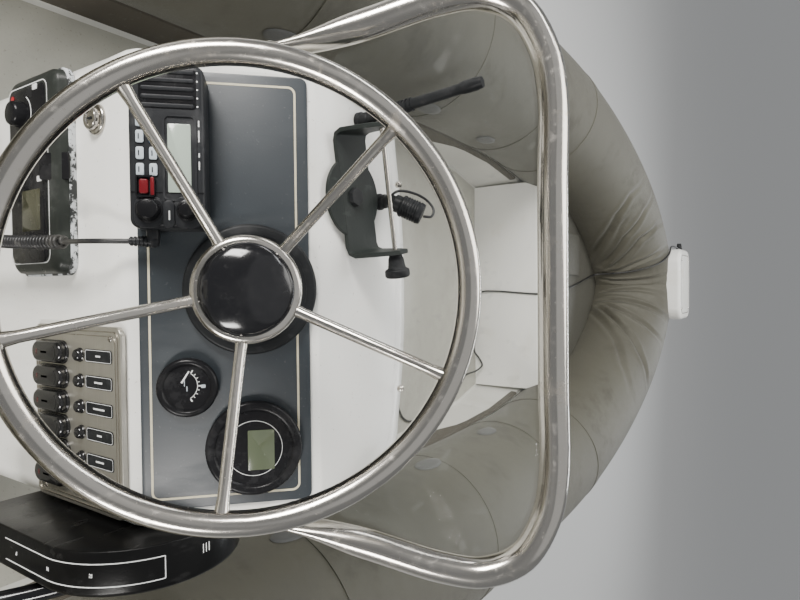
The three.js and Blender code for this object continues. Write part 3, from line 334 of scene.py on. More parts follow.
def plasticFinish(name, colour, rough=0.42, dusty=0.35, grain=420, shine=0.16):
    f = Finish(name)
    dust = f.blots(0.5, 0.72, 24, 5, 0.66)
    rubbed = f.blots(0.6, 0.7, 90, 3, stretch=(1, 0.3, 1))
    tint = f.mix(dust * dusty, colour, [min(c + 0.055, 1) for c in colour])
    tint = f.mix(rubbed * 0.3, tint, [min(c * 1.6 + 0.02, 1) for c in colour])
    height = f.cells(grain) * 0.5 + f.cloud(60, 2) * 0.4
    return f.surface(colour=tint, roughness=rough + dust * 0.16 - rubbed * 0.08, specular=shine,
                     normal=f.relief(height, 0.00022, 0.45))


def glossFinish(name, colour):
    f = Finish(name)
    smear = f.blots(0.45, 0.75, 22, 5, 0.65)
    fine = f.blots(0.62, 0.68, 160, 2, stretch=(1, 0.1, 1))
    tint = f.mix(smear * 0.25, colour, [c + 0.02 for c in colour])
    return f.surface(colour=tint, roughness=0.12 + smear * 0.14 + fine * 0.1, coat=0.12, coatRoughness=0.1,
                     normal=f.relief(f.cloud(30, 2), 0.0002, 0.15))


def brushedFinish():
    f = Finish("brushedPlate")
    lines = f.cloud(900, 3, 0.6, stretch=(0.02, 1, 1))
    broad = f.cloud(14, 4)
    stain = f.blots(0.54, 0.72, 30, 5, 0.66)
    tint = f.mix(lines, (0.42, 0.40, 0.35), (0.56, 0.54, 0.48))
    tint = f.mix(stain * 0.35, tint, (0.30, 0.27, 0.20))
    return f.surface(colour=tint, metallic=0.92 - stain * 0.2, roughness=0.3 + lines * 0.12 + broad * 0.08,
                     normal=f.relief(lines, 0.00012, 0.5))


def clearFinish():
    f = Finish("clearAcrylic")
    scratch = f.blots(0.62, 0.69, 55, 3, stretch=(1, 0.06, 1), turn=(0.2, 0.6, 0.9))
    haze = f.blots(0.4, 0.75, 9, 4)
    return f.surface(colour=(0.28, 0.30, 0.28), roughness=0.04 + haze * 0.08 + scratch * 0.2,
                     alpha=0.035 + haze * 0.02 + scratch * 0.05, specular=0.16,
                     normal=f.relief(scratch, 0.0001, 0.3))


def vinylFinish():
    f = Finish("marineVinyl")
    grain = f.cells(260, "DISTANCE_TO_EDGE")
    broad = f.cloud(5, 5, 0.6)
    grime = f.blots(0.52, 0.74, 13, 5, 0.66)
    tint = f.mix(broad, (0.62, 0.60, 0.53), (0.72, 0.70, 0.63))
    tint = f.mix(grime * 0.4, tint, (0.36, 0.33, 0.26))
    height = f.ease(grain, 0.0, 0.12) * 0.7 + f.cloud(18, 3) * 0.6
    return f.surface(colour=tint, roughness=0.42 + grime * 0.14, normal=f.relief(height, 0.0006, 0.5),
                     sheen=0.05, sheenRoughness=0.4)


def paintFinish(name, colour, rough=0.3):
    f = Finish(name)
    salt = f.blots(0.54, 0.74, 20, 6, 0.68)
    chips = f.blots(0.68, 0.73, 70, 4, 0.7)
    tint = f.mix(salt * 0.35, colour, [c + 0.09 for c in colour])
    tint = f.mix(chips * 0.7, tint, (0.30, 0.30, 0.29))
    height = f.cloud(180, 2) * 0.4 - chips * 0.8
    return f.surface(colour=tint, roughness=rough + salt * 0.22, metallic=chips * 0.5,
                     normal=f.relief(height, 0.0004, 0.4), coat=0.3, coatRoughness=0.15)


def alloyFinish():
    f = Finish("castAlloy")
    grain = f.cloud(320, 4, 0.7)
    bloom = f.blots(0.5, 0.72, 16, 5, 0.66)
    tint = f.mix(bloom * 0.6, (0.36, 0.37, 0.38), (0.52, 0.52, 0.50))
    return f.surface(colour=tint, metallic=0.85 - bloom * 0.4, roughness=0.42 + bloom * 0.25,
                     normal=f.relief(grain, 0.0006, 0.6))


def screenFinish(name, colour):
    f = Finish(name)
    across = f.cloud(12, 3)
    smear = f.blots(0.5, 0.75, 60, 4)
    tint = f.mix(across, colour, [c * 0.82 for c in colour])
    return f.surface(colour=tint, roughness=0.14 + smear * 0.2, coat=0.5, coatRoughness=0.08)


def printFinish(name, colour, rough=0.5):
    f = Finish(name)
    worn = f.blots(0.5, 0.72, 150, 4, 0.7)
    tint = f.mix(worn * 0.4, colour, [c * 0.6 for c in colour])
    return f.surface(colour=tint, roughness=rough + worn * 0.1,
                     normal=f.relief(f.cloud(400, 2), 0.0001, 0.3))


def scuffedFinish():
    f = Finish("scuffedEdge")
    raw = f.blots(0.50, 0.54, 85, 5, 0.72, stretch=(0.7, 1, 1))
    tint = f.mix(raw, (0.02, 0.022, 0.022), (0.52, 0.54, 0.55))
    return f.surface(colour=tint, roughness=0.45 + raw * 0.25, normal=f.relief(1 - raw, 0.0006, 0.6))


finishes = {
    "gelcoat": gelcoatFinish("gelcoatWhite", (0.86, 0.855, 0.81), (0.50, 0.46, 0.36)),
    "hullGelcoat": gelcoatFinish("hullGelcoat", (0.66, 0.655, 0.61), (0.30, 0.28, 0.21), 0.34),
    "locker": lockerFinish(),
    "sole": soleFinish(),
    "tube": tubeFinish("tubeFabric", (0.074, 0.070, 0.050), (0.042, 0.038, 0.027)),
    "patch": tubeFinish("patchFabric", (0.082, 0.083, 0.080), (0.055, 0.055, 0.05)),
    # dark colour for the strip along the collar's foot: painted shade, with some grime
    "grime": rubberFinish("grimeStrip", (0.075, 0.065, 0.05), 0.7),
    "strake": rubberFinish("strakeRubber", (0.022, 0.022, 0.023)),
    "steel": steelFinish(),
    "dash": dashFinish(),
    "plastic": plasticFinish("blackPlastic", (0.014, 0.015, 0.016)),
    "radio": plasticFinish("radioCase", (0.019, 0.020, 0.022), 0.36, 0.4),
    "guard": plasticFinish("redGuard", (0.13, 0.010, 0.014), 0.3, 0.2),
    "lens": printFinish("redLens", (0.085, 0.006, 0.008), 0.25),
    "stereo": plasticFinish("stereoPlastic", (0.024, 0.027, 0.024), 0.32, 0.4),
    "control": plasticFinish("controlBlack", (0.004, 0.004, 0.004), 0.3, 0.06),
    "display": plasticFinish("displayBlack", (0.010, 0.010, 0.011), 0.24, 0.25),
    "bracket": plasticFinish("bracketGrey", (0.021, 0.025, 0.023), 0.48, 0.35, 300),
    "gloss": glossFinish("glossBlack", (0.006, 0.006, 0.007)),
    "boot": glossFinish("bootRubber", (0.012, 0.012, 0.012)),
    "plate": brushedFinish(),
    "acrylic": clearFinish(),
    "vinyl": vinylFinish(),
    "cowl": paintFinish("cowlPaint", (0.018, 0.020, 0.024), 0.18),
    "motor": paintFinish("motorPaint", (0.05, 0.056, 0.063)),
    "alloy": alloyFinish(),
    "sheath": rubberFinish("cordSheath", (0.012, 0.012, 0.013), 0.42),
    "print": printFinish("whitePrint", (0.74, 0.75, 0.74)),
    "cream": printFinish("creamStripe", (0.60, 0.55, 0.40)),
    "key": printFinish("greyKey", (0.44, 0.49, 0.53), 0.4),
    "blueKey": printFinish("blueKey", (0.05, 0.22, 0.48), 0.4),
    "red": printFinish("redPlastic", (0.42, 0.018, 0.022), 0.35),
    "paleScreen": screenFinish("radioScreen", (0.40, 0.47, 0.40)),
    "darkScreen": screenFinish("gaugeScreen", (0.105, 0.125, 0.075)),
    "stereoScreen": screenFinish("stereoScreen", (0.055, 0.055, 0.032)),
    "scuffed": scuffedFinish(),
}
print(len(finishes), "finishes made")


# Shapes: every maker gives points and faces, and a Shape gathers them
# turned, plate, slab, band and route take millimetres, skin, tube and block take metres
class Shape:
    def __init__(self):
        self.points = []
        self.faces = []
        self.finishes = []

    def add(self, made, finish=0, at=None):
        points, faces = made
        start = len(self.points)
        self.points += [tuple(at @ Vector(p)) if at else tuple(p) for p in points]
        self.faces += [[start + i for i in face] for face in faces]
        self.finishes += [finish] * len(faces)
        return self


def skin(rings, closed=True, caps=(True, True), loop=False):
    count = len(rings[0])
    points = [tuple(p) for ring in rings for p in ring]
    faces = []
    for r in range(len(rings) if loop else len(rings) - 1):
        after = (r + 1) % len(rings)
        for i in range(count if closed else count - 1):
            j = (i + 1) % count
            faces.append([r * count + i, r * count + j, after * count + j, after * count + i])
    if caps[0] and not loop:
        faces.append(list(range(count))[::-1])
    if caps[1] and not loop:
        faces.append([(len(rings) - 1) * count + i for i in range(count)])
    return points, faces


def turned(profile, steps=48):
    profile = [(r * mm, z * mm) for r, z in profile]
    rings = [[(r * cos(a), r * sin(a), z) for r, z in profile] for a in angles(steps)]
    return skin(rings, closed=False, loop=True)


def tube(path, radius, sides, radii=None, closed=False):
    path = [Vector(p) for p in path]
    rings = []
    count = len(path)
    normal = None
    for i, p in enumerate(path):
        before = path[(i - 1) % count] if closed or i else path[0]
        after = path[(i + 1) % count] if closed or i + 1 < count else path[-1]
        along = (after - before).normalized()
        if normal is None:
            normal = along.orthogonal().normalized()
        normal = (normal - normal.dot(along) * along).normalized()
        side = along.cross(normal)
        r = float(radii[i]) if radii else radius
        rings.append([p + r * (cos(a) * normal + sin(a) * side) for a in angles(sides)])
    return skin(rings, loop=closed)


def roundedRing(width, height, radius, steps=6):
    ring = []
    for cx, cy, first in ((1, -1, -0.25), (1, 1, 0), (-1, 1, 0.25), (-1, -1, 0.5)):
        for i in range(steps + 1):
            a = fullTurn * (first + 0.25 * i / steps)
            x = cx * (width / 2 - radius) + radius * cos(a)
            ring.append((x, cy * (height / 2 - radius) + radius * sin(a)))
    return ring


def plate(width, height, depth, radius, soft=0.0, steps=6, softSteps=3, crown=0.0):
    width, height, depth, radius = width * mm, height * mm, depth * mm, radius * mm
    soft, crown = soft * mm, crown * mm
    rings = [[(x, y, 0) for x, y in roundedRing(width, height, radius, steps)]]
    for i in range(softSteps + 1 if soft else 1):
        a = pi / 2 * i / softSteps if soft else 0
        inset = soft * (1 - cos(a))
        z = depth - soft + soft * sin(a)
        ring = roundedRing(width - 2 * inset, height - 2 * inset, max(radius - inset, 1e-5), steps)
        rings.append([(x, y, z) for x, y in ring])
    if crown:
        for share in (0.6, 0.25):
            ring = roundedRing((width - 2 * soft) * share, (height - 2 * soft) * share, radius * share,
                               steps)
            rings.append([(x, y, depth + crown * (1 - share)) for x, y in ring])
    return skin(rings)


def block(x0, x1, y0, y1, z0, z1):
    low = [(x0, y0, z0), (x1, y0, z0), (x1, y1, z0), (x0, y1, z0)]
    return skin([low, [(x, y, z1) for x, y, _ in low]])


def slab(outline, depth, base=0.0):
    heights = (base * mm, base * mm + depth * mm)
    return skin([[(x * mm, y * mm, z) for x, y in outline] for z in heights])


def band(path, width, depth, closed=False):
    # a flat strip on a plane z = 0 along a line of (x, y) points
    path = [(x * mm, y * mm) for x, y in path]
    width, depth = width * mm, depth * mm
    rings = []
    count = len(path)
    for i, (x, y) in enumerate(path):
        before = path[(i - 1) % count] if closed or i else path[0]
        after = path[(i + 1) % count] if closed or i + 1 < count else path[-1]
        along = Vector((after[0] - before[0], after[1] - before[1])).normalized()
        nx, ny = -along.y * width / 2, along.x * width / 2
        rings.append([(x - nx, y - ny, 0), (x + nx, y + ny, 0), (x + nx, y + ny, depth),
                      (x - nx, y - ny, depth)])
    return skin(rings, loop=closed)


def rimBand(width, height, corner, steps, wide, deep):
    return band(roundedRing(width, height, corner, steps), wide, deep, True)


def arc(radius, start, end, steps):
    turns = [start + (end - start) * i / steps for i in range(steps + 1)]
    return [(radius * cos(a), radius * sin(a)) for a in turns]


def circle(radius, steps):
    return [(radius * cos(a), radius * sin(a)) for a in angles(steps)]


def curvePoint(points, share):
    # centripetal Catmull-Rom, open at both ends
    places = (len(points) - 1) * min(max(share, 0), 1)
    i = min(int(places), len(points) - 2)
    w = places - i
    p1, p2 = points[i], points[i + 1]
    p0 = points[i - 1] if i > 0 else 2 * p1 - p2
    p3 = points[i + 2] if i + 2 < len(points) else 2 * p2 - p1
    d0, d1, d2 = ((a - b).length ** 0.5 for a, b in ((p0, p1), (p1, p2), (p2, p3)))
    d1 = d1 if d1 > 1e-4 else 1.0
    d0 = d0 if d0 > 1e-4 else d1
    d2 = d2 if d2 > 1e-4 else d1
    t1 = ((p1 - p0) / d0 - (p2 - p0) / (d0 + d1) + (p2 - p1) / d1) * d1
    t2 = ((p2 - p1) / d1 - (p3 - p1) / (d1 + d2) + (p3 - p2) / d2) * d1
    c2 = -3 * p1 + 3 * p2 - 2 * t1 - t2
    c3 = 2 * p1 - 2 * p2 + t1 + t2
    return p1 + w * (t1 + w * (c2 + w * c3))


def inMetres(points):
    return [Vector(p) * mm for p in points]


def route(points, perPoint=6):
    points = inMetres(points)
    steps = (len(points) - 1) * perPoint
    return [curvePoint(points, i / steps) for i in range(steps + 1)]


def lengthOf(path):
    return sum((b - a).length for a, b in zip(path, path[1:]))


def walkedAlong(path):
    return np.concatenate([[0], np.cumsum([(b - a).length for a, b in zip(path, path[1:])])])


def applied(thing):
    evaluated = thing.evaluated_get(bpy.context.evaluated_depsgraph_get())
    mesh = bpy.data.meshes.new_from_object(evaluated)
    thing.modifiers.clear()
    thing.data = mesh
    return thing


def carry(thing, body, replaced=()):
    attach(thing, body)
    if replaced:
        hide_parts(*replaced)
    return thing


def plainMesh(name, points, faces=()):
    mesh = bpy.data.meshes.new(name)
    mesh.from_pydata([tuple(p) for p in points], [], faces)
    return mesh


def meshObject(name, shape, finishNames):
    weld = 0.002 * mm
    mesh = plainMesh(name, shape.points, shape.faces)
    mesh.polygons.foreach_set("material_index", shape.finishes)
    work = bmesh.new()
    work.from_mesh(mesh)
    bmesh.ops.remove_doubles(work, verts=work.verts, dist=weld)
    bmesh.ops.dissolve_degenerate(work, edges=work.edges, dist=weld / 2)
    bmesh.ops.recalc_face_normals(work, faces=work.faces)
    work.to_mesh(mesh)
    work.free()
    for finish in finishNames:
        mesh.materials.append(finishes[finish])
    return linked(name, mesh)


def piece(name, shape, finishNames, replaced=(), body="boat", bevel=0.0, angle=32):
    made = meshObject(name, shape, finishNames)
    if bevel:
        edge = made.modifiers.new("edges", "BEVEL")
        edge.width = bevel
        edge.segments = 2
        edge.limit_method = "ANGLE"
        edge.angle_limit = radians(angle)
        applied(made)
    made.data.shade_smooth()
    made.data.set_sharp_from_angle(angle=radians(angle + 10))
    if bevel:
        made.modifiers.new("shading", "WEIGHTED_NORMAL").keep_sharp = True
        applied(made)
    return carry(made, body, replaced)


def offset(x, y, z):
    return Matrix.Translation((x * mm, y * mm, z * mm))


def quarter(axis, way=1):
    return Matrix.Rotation(way * pi / 2, 4, axis)


dashTilt = 0.766
boardTop = 3.6  # mm, the dash board's face over the console
wallGap = 0.3
dashFrame = offset(0, -688, 750) @ Matrix.Rotation(dashTilt, 4, "X")
helmFrame = dashFrame @ offset(1, 100, 0)
wallFrame = offset(0, -706, 0) @ quarter("X")


def along(frameMatrix, x, y, z=0.0):
    return frameMatrix @ offset(x, y, z)


# Geometry Nodes trees
def nodeTree(name, sizes):
    tree = bpy.data.node_groups.new(name, "GeometryNodeTree")
    tree.interface.new_socket("Geometry", in_out="INPUT", socket_type="NodeSocketGeometry")
    for label, value in sizes.items():
        kind = "NodeSocketInt" if isinstance(value, int) else "NodeSocketFloat"
        made = tree.interface.new_socket(label, in_out="INPUT", socket_type=kind)
        made.default_value = value
    tree.interface.new_socket("Geometry", in_out="OUTPUT", socket_type="NodeSocketGeometry")
    graph = Graph(tree)
    start = graph.node("NodeGroupInput")
    inputs = {s.name: Wire(graph, s) for s in start.socket.node.outputs if s.name}
    return graph, inputs


def endTree(graph, geometry, finish):
    real = graph.node("GeometryNodeRealizeInstances", inputs={0: geometry})
    coloured = graph.node("GeometryNodeSetMaterial", inputs={0: real, "Material": finishes[finish]})
    graph.node("GeometryNodeSetShadeSmooth", inputs={0: coloured})
    out = graph.tree.nodes.new("NodeGroupOutput")
    graph.tree.links.new(coloured.socket, out.inputs[0])


def grown(name, source, graph, values, body):
    # runs a tree on a mesh or curve object and keeps the plain mesh
    modifier = source.modifiers.new("build", "NODES")
    modifier.node_group = graph.tree
    for item in graph.tree.interface.items_tree:
        if item.item_type == "SOCKET" and item.in_out == "INPUT" and item.name in values:
            modifier[item.identifier] = values[item.name]
    mesh = bpy.data.meshes.new_from_object(source.evaluated_get(bpy.context.evaluated_depsgraph_get()))
    mesh.name = name
    source.modifiers.clear()
    made = linked(name, mesh)
    bpy.data.objects.remove(source)
    made.data.shade_smooth()
    made.data.set_sharp_from_angle(angle=radians(40))
    carry(made, body)


def screwTree(finish):
    # a domed head on every point, turned to the point's own normal
    graph, sizes = nodeTree("screwsOn" + finish, {"Head": 0.004, "Rise": 0.0016, "Slot": 0.0009})
    head = graph.node("GeometryNodeMeshUVSphere",
                      inputs={"Segments": 18, "Rings": 10, "Radius": sizes["Head"]})
    squash = graph.node("ShaderNodeCombineXYZ", inputs={0: 1.0, 1: 1.0, 2: sizes["Rise"] / sizes["Head"]})
    head = graph.node("GeometryNodeTransform", inputs={"Geometry": head, "Scale": squash})
    long = graph.node("ShaderNodeCombineXYZ",
                      inputs={0: sizes["Head"] * 1.3, 1: sizes["Slot"], 2: sizes["Rise"] * 0.8})
    across = graph.node("ShaderNodeCombineXYZ",
                        inputs={0: sizes["Slot"], 1: sizes["Head"] * 1.3, 2: sizes["Rise"] * 0.8})
    lift = graph.node("ShaderNodeCombineXYZ", inputs={2: sizes["Rise"]})
    for size in (long, across):
        bar = graph.node("GeometryNodeMeshCube", inputs={"Size": size})
        bar = graph.node("GeometryNodeTransform", inputs={"Geometry": bar, "Translation": lift})
        head = graph.node("GeometryNodeMeshBoolean", {"operation": "DIFFERENCE"}, {0: head, 1: bar})
    facing = graph.node("GeometryNodeInputNamedAttribute", {"data_type": "FLOAT_VECTOR"}, {"Name": "facing"})
    turn = graph.node("FunctionNodeAlignRotationToVector", {"axis": "Z"}, {"Vector": facing})
    spin = graph.node("FunctionNodeRandomValue", {"data_type": "FLOAT"},
                      {2: 0.0, 3: 3.1, "Seed": 7}, output=1)
    spun = graph.node("FunctionNodeRotateRotation", {"rotation_space": "LOCAL"}, {0: turn, 1: graph.node(
        "FunctionNodeEulerToRotation", inputs={0: graph.node("ShaderNodeCombineXYZ", inputs={2: spin})})})
    placed = graph.node("GeometryNodeInstanceOnPoints",
                        inputs={"Points": sizes["Geometry"], "Instance": head, "Rotation": spun})
    endTree(graph, placed, finish)
    return graph


def pointSource(spots):
    # one loose point per spot, which carries the direction that its screw faces
    mesh = plainMesh("spots", [p for p, _ in spots])
    store = mesh.attributes.new("facing", "FLOAT_VECTOR", "POINT")
    store.data.foreach_set("vector", [c for _, n in spots for c in n])
    return linked("spots", mesh)


def screws(name, spots, head):
    values = {"Head": head, "Rise": head * 0.4, "Slot": head * 0.22}
    grown(name, pointSource(spots), screwTree("steel"), values, "boat")


def sweepTree(finish):
    # a round section along a curve
    graph, sizes = nodeTree("sweepOf" + finish, {"Radius": 0.002, "Sides": 10, "Step": 0.004})
    evenly = graph.node("GeometryNodeResampleCurve", {"mode": "LENGTH"},
                        {"Curve": sizes["Geometry"], "Length": sizes["Step"]})
    ring = graph.node("GeometryNodeCurvePrimitiveCircle",
                      inputs={"Resolution": sizes["Sides"], "Radius": sizes["Radius"]})
    made = graph.node("GeometryNodeCurveToMesh", inputs={"Curve": evenly, "Profile Curve": ring,
                                                         "Fill Caps": True})
    endTree(graph, made, finish)
    return graph


def lineObject(name, paths, closed=False):
    data = bpy.data.curves.new(name, "CURVE")
    data.dimensions = "3D"
    for path in paths:
        spline = data.splines.new("POLY")
        spline.points.add(len(path) - 1)
        spline.points.foreach_set("co", [c for p in path for c in (*p, 1)])
        spline.use_cyclic_u = closed
    return linked(name, data)


def piping(name, paths, radius, body, finish, closed=False, step=0.004):
    grown(name, lineObject("line", paths, closed), sweepTree(finish),
          {"Radius": radius, "Sides": 10, "Step": step}, body)


# Cords: the same points as the solids' own routes, millimetres
bowWire = {
    "radius": 3.8,
    "points": [
        (150, -305.7, 150), (150, -293, 150), (151, -275, 134), (158, -252, 112), (180, -190, 107),
        (250, 60, 107), (370, 500, 107), (410, 683, 107), (470, 730, 107), (495, 800, 107), (470, 960, 107),
        (400, 1120, 107), (374, 1230, 108), (364, 1286, 124), (342, 1302, 140), (312, 1300, 126),
        (282, 1292, 108), (200, 1304, 107), (90, 1308, 107), (40, 1304, 112), (24, 1309, 140),
        (22, 1314, 200), (34, 1314, 380), (32, 1310, 440), (30, 1319, 455), (28, 1340, 453.5),
        (18, 1460, 452.5), (-2, 1600, 452.5), (-30, 1760, 453.4), (-44, 1838, 455), (-51, 1870, 466),
        (-53, 1877, 500), (-56, 1877, 560), (-63, 1893, 626), (-78, 1928, 684), (-104, 1988, 735),
        (-148, 2066, 760), (-182, 2130, 756), (-187, 2200, 762), (-179, 2246.4, 772),
    ],
}
micLead = {
    "radius": 2.5,
    "points": [
        (-47, -712.3, 754.4), (-47, -718.8, 748.1), (-47.2, -729, 736), (-47.6, -737, 716), (-48, -741, 690),
    ],
}
curlyCord = {
    "outer": 7.5, "strand": 2.0, "pitch": 5.9, "sides": 10, "stepsPerTurn": 16,
    "points": [
        (-48, -741, 689.6), (-49, -744, 660), (-52, -746, 600), (-58, -750, 520), (-62, -756, 440),
        (-66, -758, 380), (-80, -758, 336), (-98, -758, 322), (-116, -758, 336), (-128, -758, 356),
        (-130, -757, 370), (-130, -757, 384),
    ],
}


def plainCord(name, table, node):
    path = route(table["points"])
    made = lineObject(name, [path])
    made.data.bevel_depth = table["radius"] * mm
    made.data.bevel_resolution = 3
    made.data.use_fill_caps = True
    made.data.materials.append(finishes["sheath"])
    carry(made, "boat", [node])
    length = round(lengthOf(path), 3)
    print(name, length)


def makeCords():
    plainCord("bowLightWire", bowWire, "bow_wire")
    plainCord("micLeadCord", micLead, "mic_lead")
    middle = route(curlyCord["points"], 24)
    length = lengthOf(middle)
    turns = int(length / (curlyCord["pitch"] * mm))
    steps = turns * curlyCord["stepsPerTurn"]
    reach = (curlyCord["outer"] - curlyCord["strand"]) * mm
    walked = walkedAlong(middle)
    spots = np.linspace(0, walked[-1], steps + 1)
    line = np.stack([np.interp(spots, walked, [p[i] for p in middle]) for i in range(3)], 1)
    normal = Vector((1, 0, 0))
    strand = []
    for i in range(steps + 1):
        ahead = Vector(line[min(i + 1, steps)] - line[max(i - 1, 0)]).normalized()
        normal = (normal - normal.dot(ahead) * ahead).normalized()
        a = fullTurn * i / curlyCord["stepsPerTurn"]
        grow = min(1, i / 10, (steps - i) / 10)
        spoke = cos(a) * normal + sin(a) * ahead.cross(normal)
        strand.append(Vector(line[i]) + reach * grow * spoke)
    shape = Shape().add(tube(strand, curlyCord["strand"] * mm, curlyCord["sides"]))
    curl = piece("micCurlyCord", shape, ["sheath"], ["mic_curly_cord"], angle=60)
    print("micCurlyCord", round(length, 3), "strand", round(lengthOf(strand), 3))


makeCords()


# Steering wheel, polished, five spokes
wheel = {
    "radius": 186, "tube": 10.5, "stand": 158, "spokes": 5, "firstSpoke": -0.115, "spokeRadius": 5,
    "hub": [(0, 104), (30, 104), (43.5, 104.6), (46.2, 107), (47, 110.5), (47, 117), (46.2, 119.6),
            (44, 121.6), (42, 122), (0, 122)],
    "shaft": [(0, 14.2), (15, 14.2), (15, 60), (18, 66), (24, 72), (26, 84), (30, 98), (31, 105), (0, 105)],
}


def makeWheel():
    ring = inMetres((x, y, wheel["stand"]) for x, y in circle(wheel["radius"], 144))
    shape = Shape().add(tube(ring, wheel["tube"] * mm, 24, closed=True), 0, helmFrame)
    for a in angles(wheel["spokes"]):
        a += wheel["firstSpoke"]
        out = Vector((cos(a), sin(a), 0))
        path = []
        radii = []
        for t in np.linspace(0, 1, 13):
            r = 40 + (wheel["radius"] - 7 - 40) * t
            path.append((out * r + Vector((0, 0, 113.5 + (wheel["stand"] - 1.5 - 113.5) * t))) * mm)
            weld = max(0, (t - 0.94) / 0.06) ** 2 * 1.4 + max(0, (0.05 - t) / 0.05) ** 2 * 1.2
            radii.append((wheel["spokeRadius"] + weld) * mm)
        shape.add(tube(path, 0, 18, radii), 0, helmFrame)
    shape.add(turned(wheel["hub"], 72), 0, helmFrame)
    shape.add(turned(wheel["shaft"], 40), 1, helmFrame)
    piece("steeringWheel", shape, ["steel", "plastic"], ["steering_wheel"], body="wheel")
    dome = [(0, 0.3), (39.6, 0.3), (40, 1), (40, 5.5)]
    dome += [(40 * cos(a), 5.5 + 12.5 * sin(a)) for a in np.linspace(0.12, pi / 2, 16)]
    shape = Shape().add(turned([(max(r, 0), z + 122) for r, z in dome], 72), 0, helmFrame)
    piece("wheelCap", shape, ["gloss"], ["wheel_hub_cap"], body="wheel")


makeWheel()


# Console: level sections as in the solid, with a softer top edge
console = {
    "half": 246, "bow": 33,
    "levels": [  # height, aft edge, front edge, inset, aft corner, front corner
        (100.3, -706, -300, 0, 24, 70), (130, -706, -304, 0, 24, 70), (700, -706, -352, 0, 24, 70),
        (728, -705.8, -355, 0, 22, 70), (736.8, -701.7, -356, 0, 20, 70), (760, -677.6, -358, 0, 18, 70),
        (815, -620.4, -362, 0.3, 16, 70), (838, -596.5, -368, 1.6, 15, 68), (852, -581.9, -378, 4, 14, 64),
        (859, -574.6, -386, 6.4, 13, 62), (863, -570.5, -392, 9, 12, 60), (866.4, -566.9, -400.5, 13.2, 10,
                                                                           57),
        (868, -565.2, -410, 18, 8, 54),
    ],
}


def consoleRing(z, aft, front, inset, aftCorner, frontCorner, steps=9):
    half = console["half"] - inset
    aftCorner = max(aftCorner, 2)

    def bow(x):
        return front - console["bow"] * (x / half) ** 2

    ring = []
    for i in range(steps + 1):
        a = i / steps * pi / 2
        ring.append((half - aftCorner + aftCorner * sin(a), aft + aftCorner - aftCorner * cos(a)))
    start = bow(half - frontCorner) - frontCorner
    for i in range(steps + 1):
        a = i / steps * pi / 2
        ring.append((half - frontCorner + frontCorner * cos(a), start + frontCorner * sin(a)))
    for share in (0.55, 0.38, 0.2):
        ring.append((half * share, bow(half * share)))
    port = [(-x, y) for x, y in ring][::-1]
    return [(x * mm, y * mm, z * mm) for x, y in ring + [(0, front)] + port]


def makeConsole():
    rings = [consoleRing(*level) for level in console["levels"]]
    shape = Shape().add(skin(rings))
    shape.add(turned([(0, -16), (9, -16), (9, -2), (7.5, 0), (0, 0)], 20), 1,
              offset(150, -306, 150) @ quarter("X", -1))
    piece("consoleMoulding", shape, ["gelcoat", "plastic"], ["console"], angle=30)


makeConsole()

dashPanel = {"x": 2, "y": 75, "width": 446, "height": 170, "corner": 8,
             "stripe": (2, 73.5, 424, 147, 7), "stripeWidth": 2.2}


def makeDash():
    p = dashPanel
    at = along(dashFrame, p["x"], p["y"], 0.3)
    shape = Shape().add(plate(p["width"], p["height"], 3.3, p["corner"], 0.7, 5, 2), 0, at)
    x, y, width, height, corner = p["stripe"]
    shape.add(rimBand(width, height, corner, 8, p["stripeWidth"], 0.18), 1, along(dashFrame, x, y, boardTop))
    piece("dashBoard", shape, ["dash", "cream"], ["dash_panel"])


makeDash()


# Round instruments
def dialShape(gauge, steps):
    radius, height, inner = gauge["radius"], gauge["height"], gauge["radius"] - gauge["lip"]
    profile = [
        (0, 0), (radius - 1, 0), (radius, 1), (radius, height - 3.4), (radius - 0.6, height - 1.7),
        (radius - 2, height - 0.5), (radius - 3.6, height), (inner + 1.2, height), (inner, height - 0.8),
        (inner - 1.6, height - 3), (0, height - 3),
    ]
    return Shape().add(turned(profile, steps), 0, along(dashFrame, gauge["x"], gauge["y"], boardTop))


fuelGauge = {"x": 100, "y": 36, "radius": 30, "height": 10, "lip": 6}
speedGauge = {"x": 166, "y": 101, "radius": 49, "height": 9, "lip": 9}
helmBezel = {"x": 1, "y": 100, "radius": 67, "height": 13, "lip": 22}


def flatMark(shape, outline, frameMatrix, x, y, z, finish, depth=0.16, turn=0.0):
    at = along(frameMatrix, x, y, z) @ Matrix.Rotation(turn, 4, "Z")
    shape.add(slab(outline, depth), finish, at)


def bar(length, width):
    return [(-length / 2, -width / 2), (length / 2, -width / 2), (length / 2, width / 2),
            (-length / 2, width / 2)]


